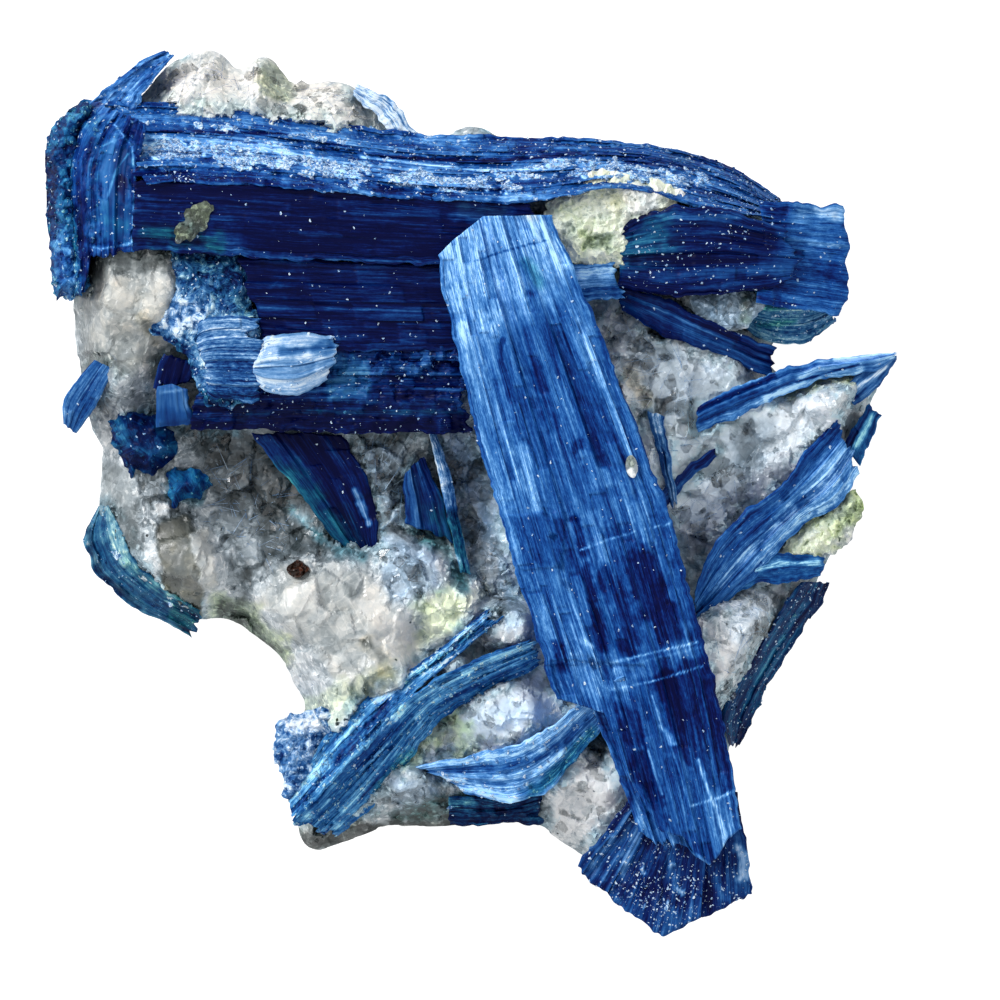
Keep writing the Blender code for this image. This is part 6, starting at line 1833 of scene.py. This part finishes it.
# %% Scatter by layer
def ground_mesh(kind, layer, lift, own):
    """The painted part of the surfaces. Stones take its colours, unless they have their own."""
    points, faces, first = [], [], 0
    values = {key: [] for key in (("density",) if own else ("tone", "frost", "teal", "warm", "density"))}
    for name, places, tops, layers in grounds:
        if kind != name:
            continue
        many = len(places)
        share = np.maximum(layers[layer][:many], 0.0)
        kept = [face for face in tops if share[face[0]] + share[face[2]] > 0.04]
        points.append(places)
        faces += [tuple(int(q) + first for q in face) for face in kept]
        for key in values:
            values[key].append(share if key == "density" else layers[key][:many])
        first += many
    mesh = bpy.data.meshes.new("ground")
    mesh.from_pydata(on_sheet(np.concatenate(points) + (0.0, 0.0, lift)).tolist(), [], faces)
    add_values(mesh, {key: np.concatenate(parts) for key, parts in values.items()})
    return in_scene("ground", mesh)


def scatter(name, slot, tree, kind, layer, material, lift=0.0, own=False, **values):
    """A piece of scattered stones or fibres, riding on the specimen."""
    ground = ground_mesh(kind, layer, lift, own)
    modifier = ground.modifiers.new("Scatter", "NODES")
    modifier.node_group = tree
    sockets = {item.name: item.identifier for item in tree.interface.items_tree if item.in_out == "INPUT"}
    for label, value in {**values, "Finish": material}.items():
        modifier[sockets[label.replace("_", " ")]] = value
    bpy.context.view_layer.update()
    mesh = bpy.data.meshes.new_from_object(ground.evaluated_get(bpy.context.evaluated_depsgraph_get()))
    bare = ground.data
    bpy.data.objects.remove(ground)
    bpy.data.meshes.remove(bare)
    where = np.empty(len(mesh.vertices) * 3, np.float32)
    mesh.vertices.foreach_get("co", where)
    mesh.vertices.foreach_set("co", in_box(where.reshape(-1, 3)).astype(np.float32).ravel())
    mesh.name = name
    stand_for(in_scene(name, mesh), slot)
    print(name, len(mesh.polygons), "faces")


CROWD = 1e6 * 1.0  # to a square millimetre where a layer is 1
pale = KYANITE["kyanite_pale"]
scatter("ridge_crumbs", "kyanite_pale", STONES, "blade", "crumbs", pale, own=True, lift=-0.03,
        Density=14.0 * CROWD, Smallest=0.05 * MM, Largest=0.38 * MM, Thinness=0.5, Own_Tone=1.0,
        Darkest=0.62, Palest=1.0, Seed=3)
scatter("white_flecks", "kyanite_pale", STONES, "blade", "flecks", pale, own=True, Density=2.0 * CROWD,
        Smallest=0.02 * MM, Largest=0.17 * MM, Thinness=0.4, Own_Tone=1.0,
        Darkest=0.70, Palest=1.0, Seed=4)
scatter("blade_grit", "kyanite_pale", STONES, "blade", "grit", pale, lift=-0.07,
        Density=12.0 * CROWD, Smallest=0.05 * MM, Largest=0.28 * MM, Thinness=0.5, Own_Tone=0.0,
        Darkest=0.35, Palest=0.75, Seed=5)
scatter("quartz_crumbs", "quartz", STONES, "quartz", "crumbs", QUARTZ["quartz"], lift=-0.12,
        Density=3.0 * CROWD, Smallest=0.10 * MM, Largest=0.50 * MM, Thinness=0.45, Own_Tone=0.0,
        Darkest=0.32, Palest=0.74, Seed=8)
scatter("clear_grains", "quartz", STONES, "quartz", "clear", CLEAR, lift=-0.25,
        Density=1.2 * CROWD, Smallest=0.25 * MM, Largest=1.10 * MM, Thinness=0.6, Own_Tone=0.0,
        Darkest=0.40, Palest=0.80, Seed=13)
scatter("pale_fibres", "kyanite_pale", FIBRES, "quartz", "fibres", pale, lift=0.06,
        Density=2.4 * CROWD, Smallest=0.25 * MM, Largest=1.60 * MM, Thinness=0.022, Own_Tone=1.0,
        Darkest=0.70, Palest=1.0, Seed=21)

# %% [markdown]
# ## Light, backdrop and view
#
# The specimen lies on a glowing white sheet, so it casts no shadow. A bright room lights it evenly
# from the sides and a little less brightly from straight above, where the camera hangs, and one
# large soft light comes from the upper left. The dimmer ceiling mirrors a little less in the flat
# faces of the dark blades. The view is straight down with a long lens.

# %% Floor, light and camera
SHEET_SIZE, SHEET_LEVEL = 1.2, -0.0002  # metres
bpy.ops.mesh.primitive_plane_add(size=SHEET_SIZE, location=(0.0, 0.0, SHEET_LEVEL))
sheet = bpy.context.object
sheet.name = "pale_sheet"
paper, paper_tree, paper_shader = new_material("pale_paper", (0.9, 0.9, 0.9))
fibre = noise_of(paper_tree, link_from(paper_tree, "ShaderNodeTexCoord").outputs["Object"], 900.0, 1.0)
paper_colour = blend(paper_tree, fibre, (0.40, 0.40, 0.40, 1.0), (0.42, 0.42, 0.42, 1.0))
paper_tree.links.new(paper_colour, paper_shader.inputs["Base Color"])
paper_tree.links.new(paper_colour, paper_shader.inputs["Emission Color"])
seen = link_from(paper_tree, "ShaderNodeLightPath").outputs["Is Camera Ray"]
paper_tree.links.new(remap(paper_tree, seen, 0.0, 1.0, 0.25, 2.2), paper_shader.inputs["Emission Strength"])
paper_shader.inputs["Roughness"].default_value = 0.9
paper.cycles.emission_sampling = "NONE"  # rays that miss the stone find the sheet by themselves
sheet.data.materials.append(paper)

world = bpy.data.worlds.new("soft_room")
bpy.context.scene.world = world
world.use_nodes = True
towards = link_from(world.node_tree, "ShaderNodeTexCoord").outputs["Generated"]
upwards = link_from(world.node_tree, "ShaderNodeSeparateXYZ", {0: towards}).outputs[2]
world.node_tree.nodes["Background"].inputs[0].default_value = (1.0, 1.0, 1.0, 1.0)
glow = remap(world.node_tree, upwards, 0.6, 0.95, 0.85, 0.72)
world.node_tree.links.new(glow, world.node_tree.nodes["Background"].inputs[1])


def soft_light(name, place, size, power, aim=(0.0, 0.0, 0.02)):
    light = bpy.data.lights.new(name, "AREA")
    light.shape = "DISK"
    light.size = size
    light.energy = power
    lamp = in_scene(name, light)
    lamp.location = place
    lamp.rotation_euler = (Vector(aim) - Vector(place)).to_track_quat("-Z", "Y").to_euler()


soft_light("key_light", place=(-0.50, 0.42, 0.50), size=0.40, power=5.2)

LENS, SENSOR = 500.0, 36.0  # millimetres
VIEW_WIDTH, VIEW_LEVEL, VIEW_CENTRE = 0.1, 0.028, (0.0029, -0.0008)  # metres
camera_data = bpy.data.cameras.new("view_from_above")
camera_data.lens, camera_data.sensor_width = LENS, SENSOR
camera_data.clip_start, camera_data.clip_end = 0.05, 10.0
camera = in_scene("view_from_above", camera_data)
camera.location = (*VIEW_CENTRE, VIEW_LEVEL + VIEW_WIDTH * LENS / SENSOR)
bpy.context.scene.camera = camera
bpy.context.scene.view_settings.view_transform = "Standard"
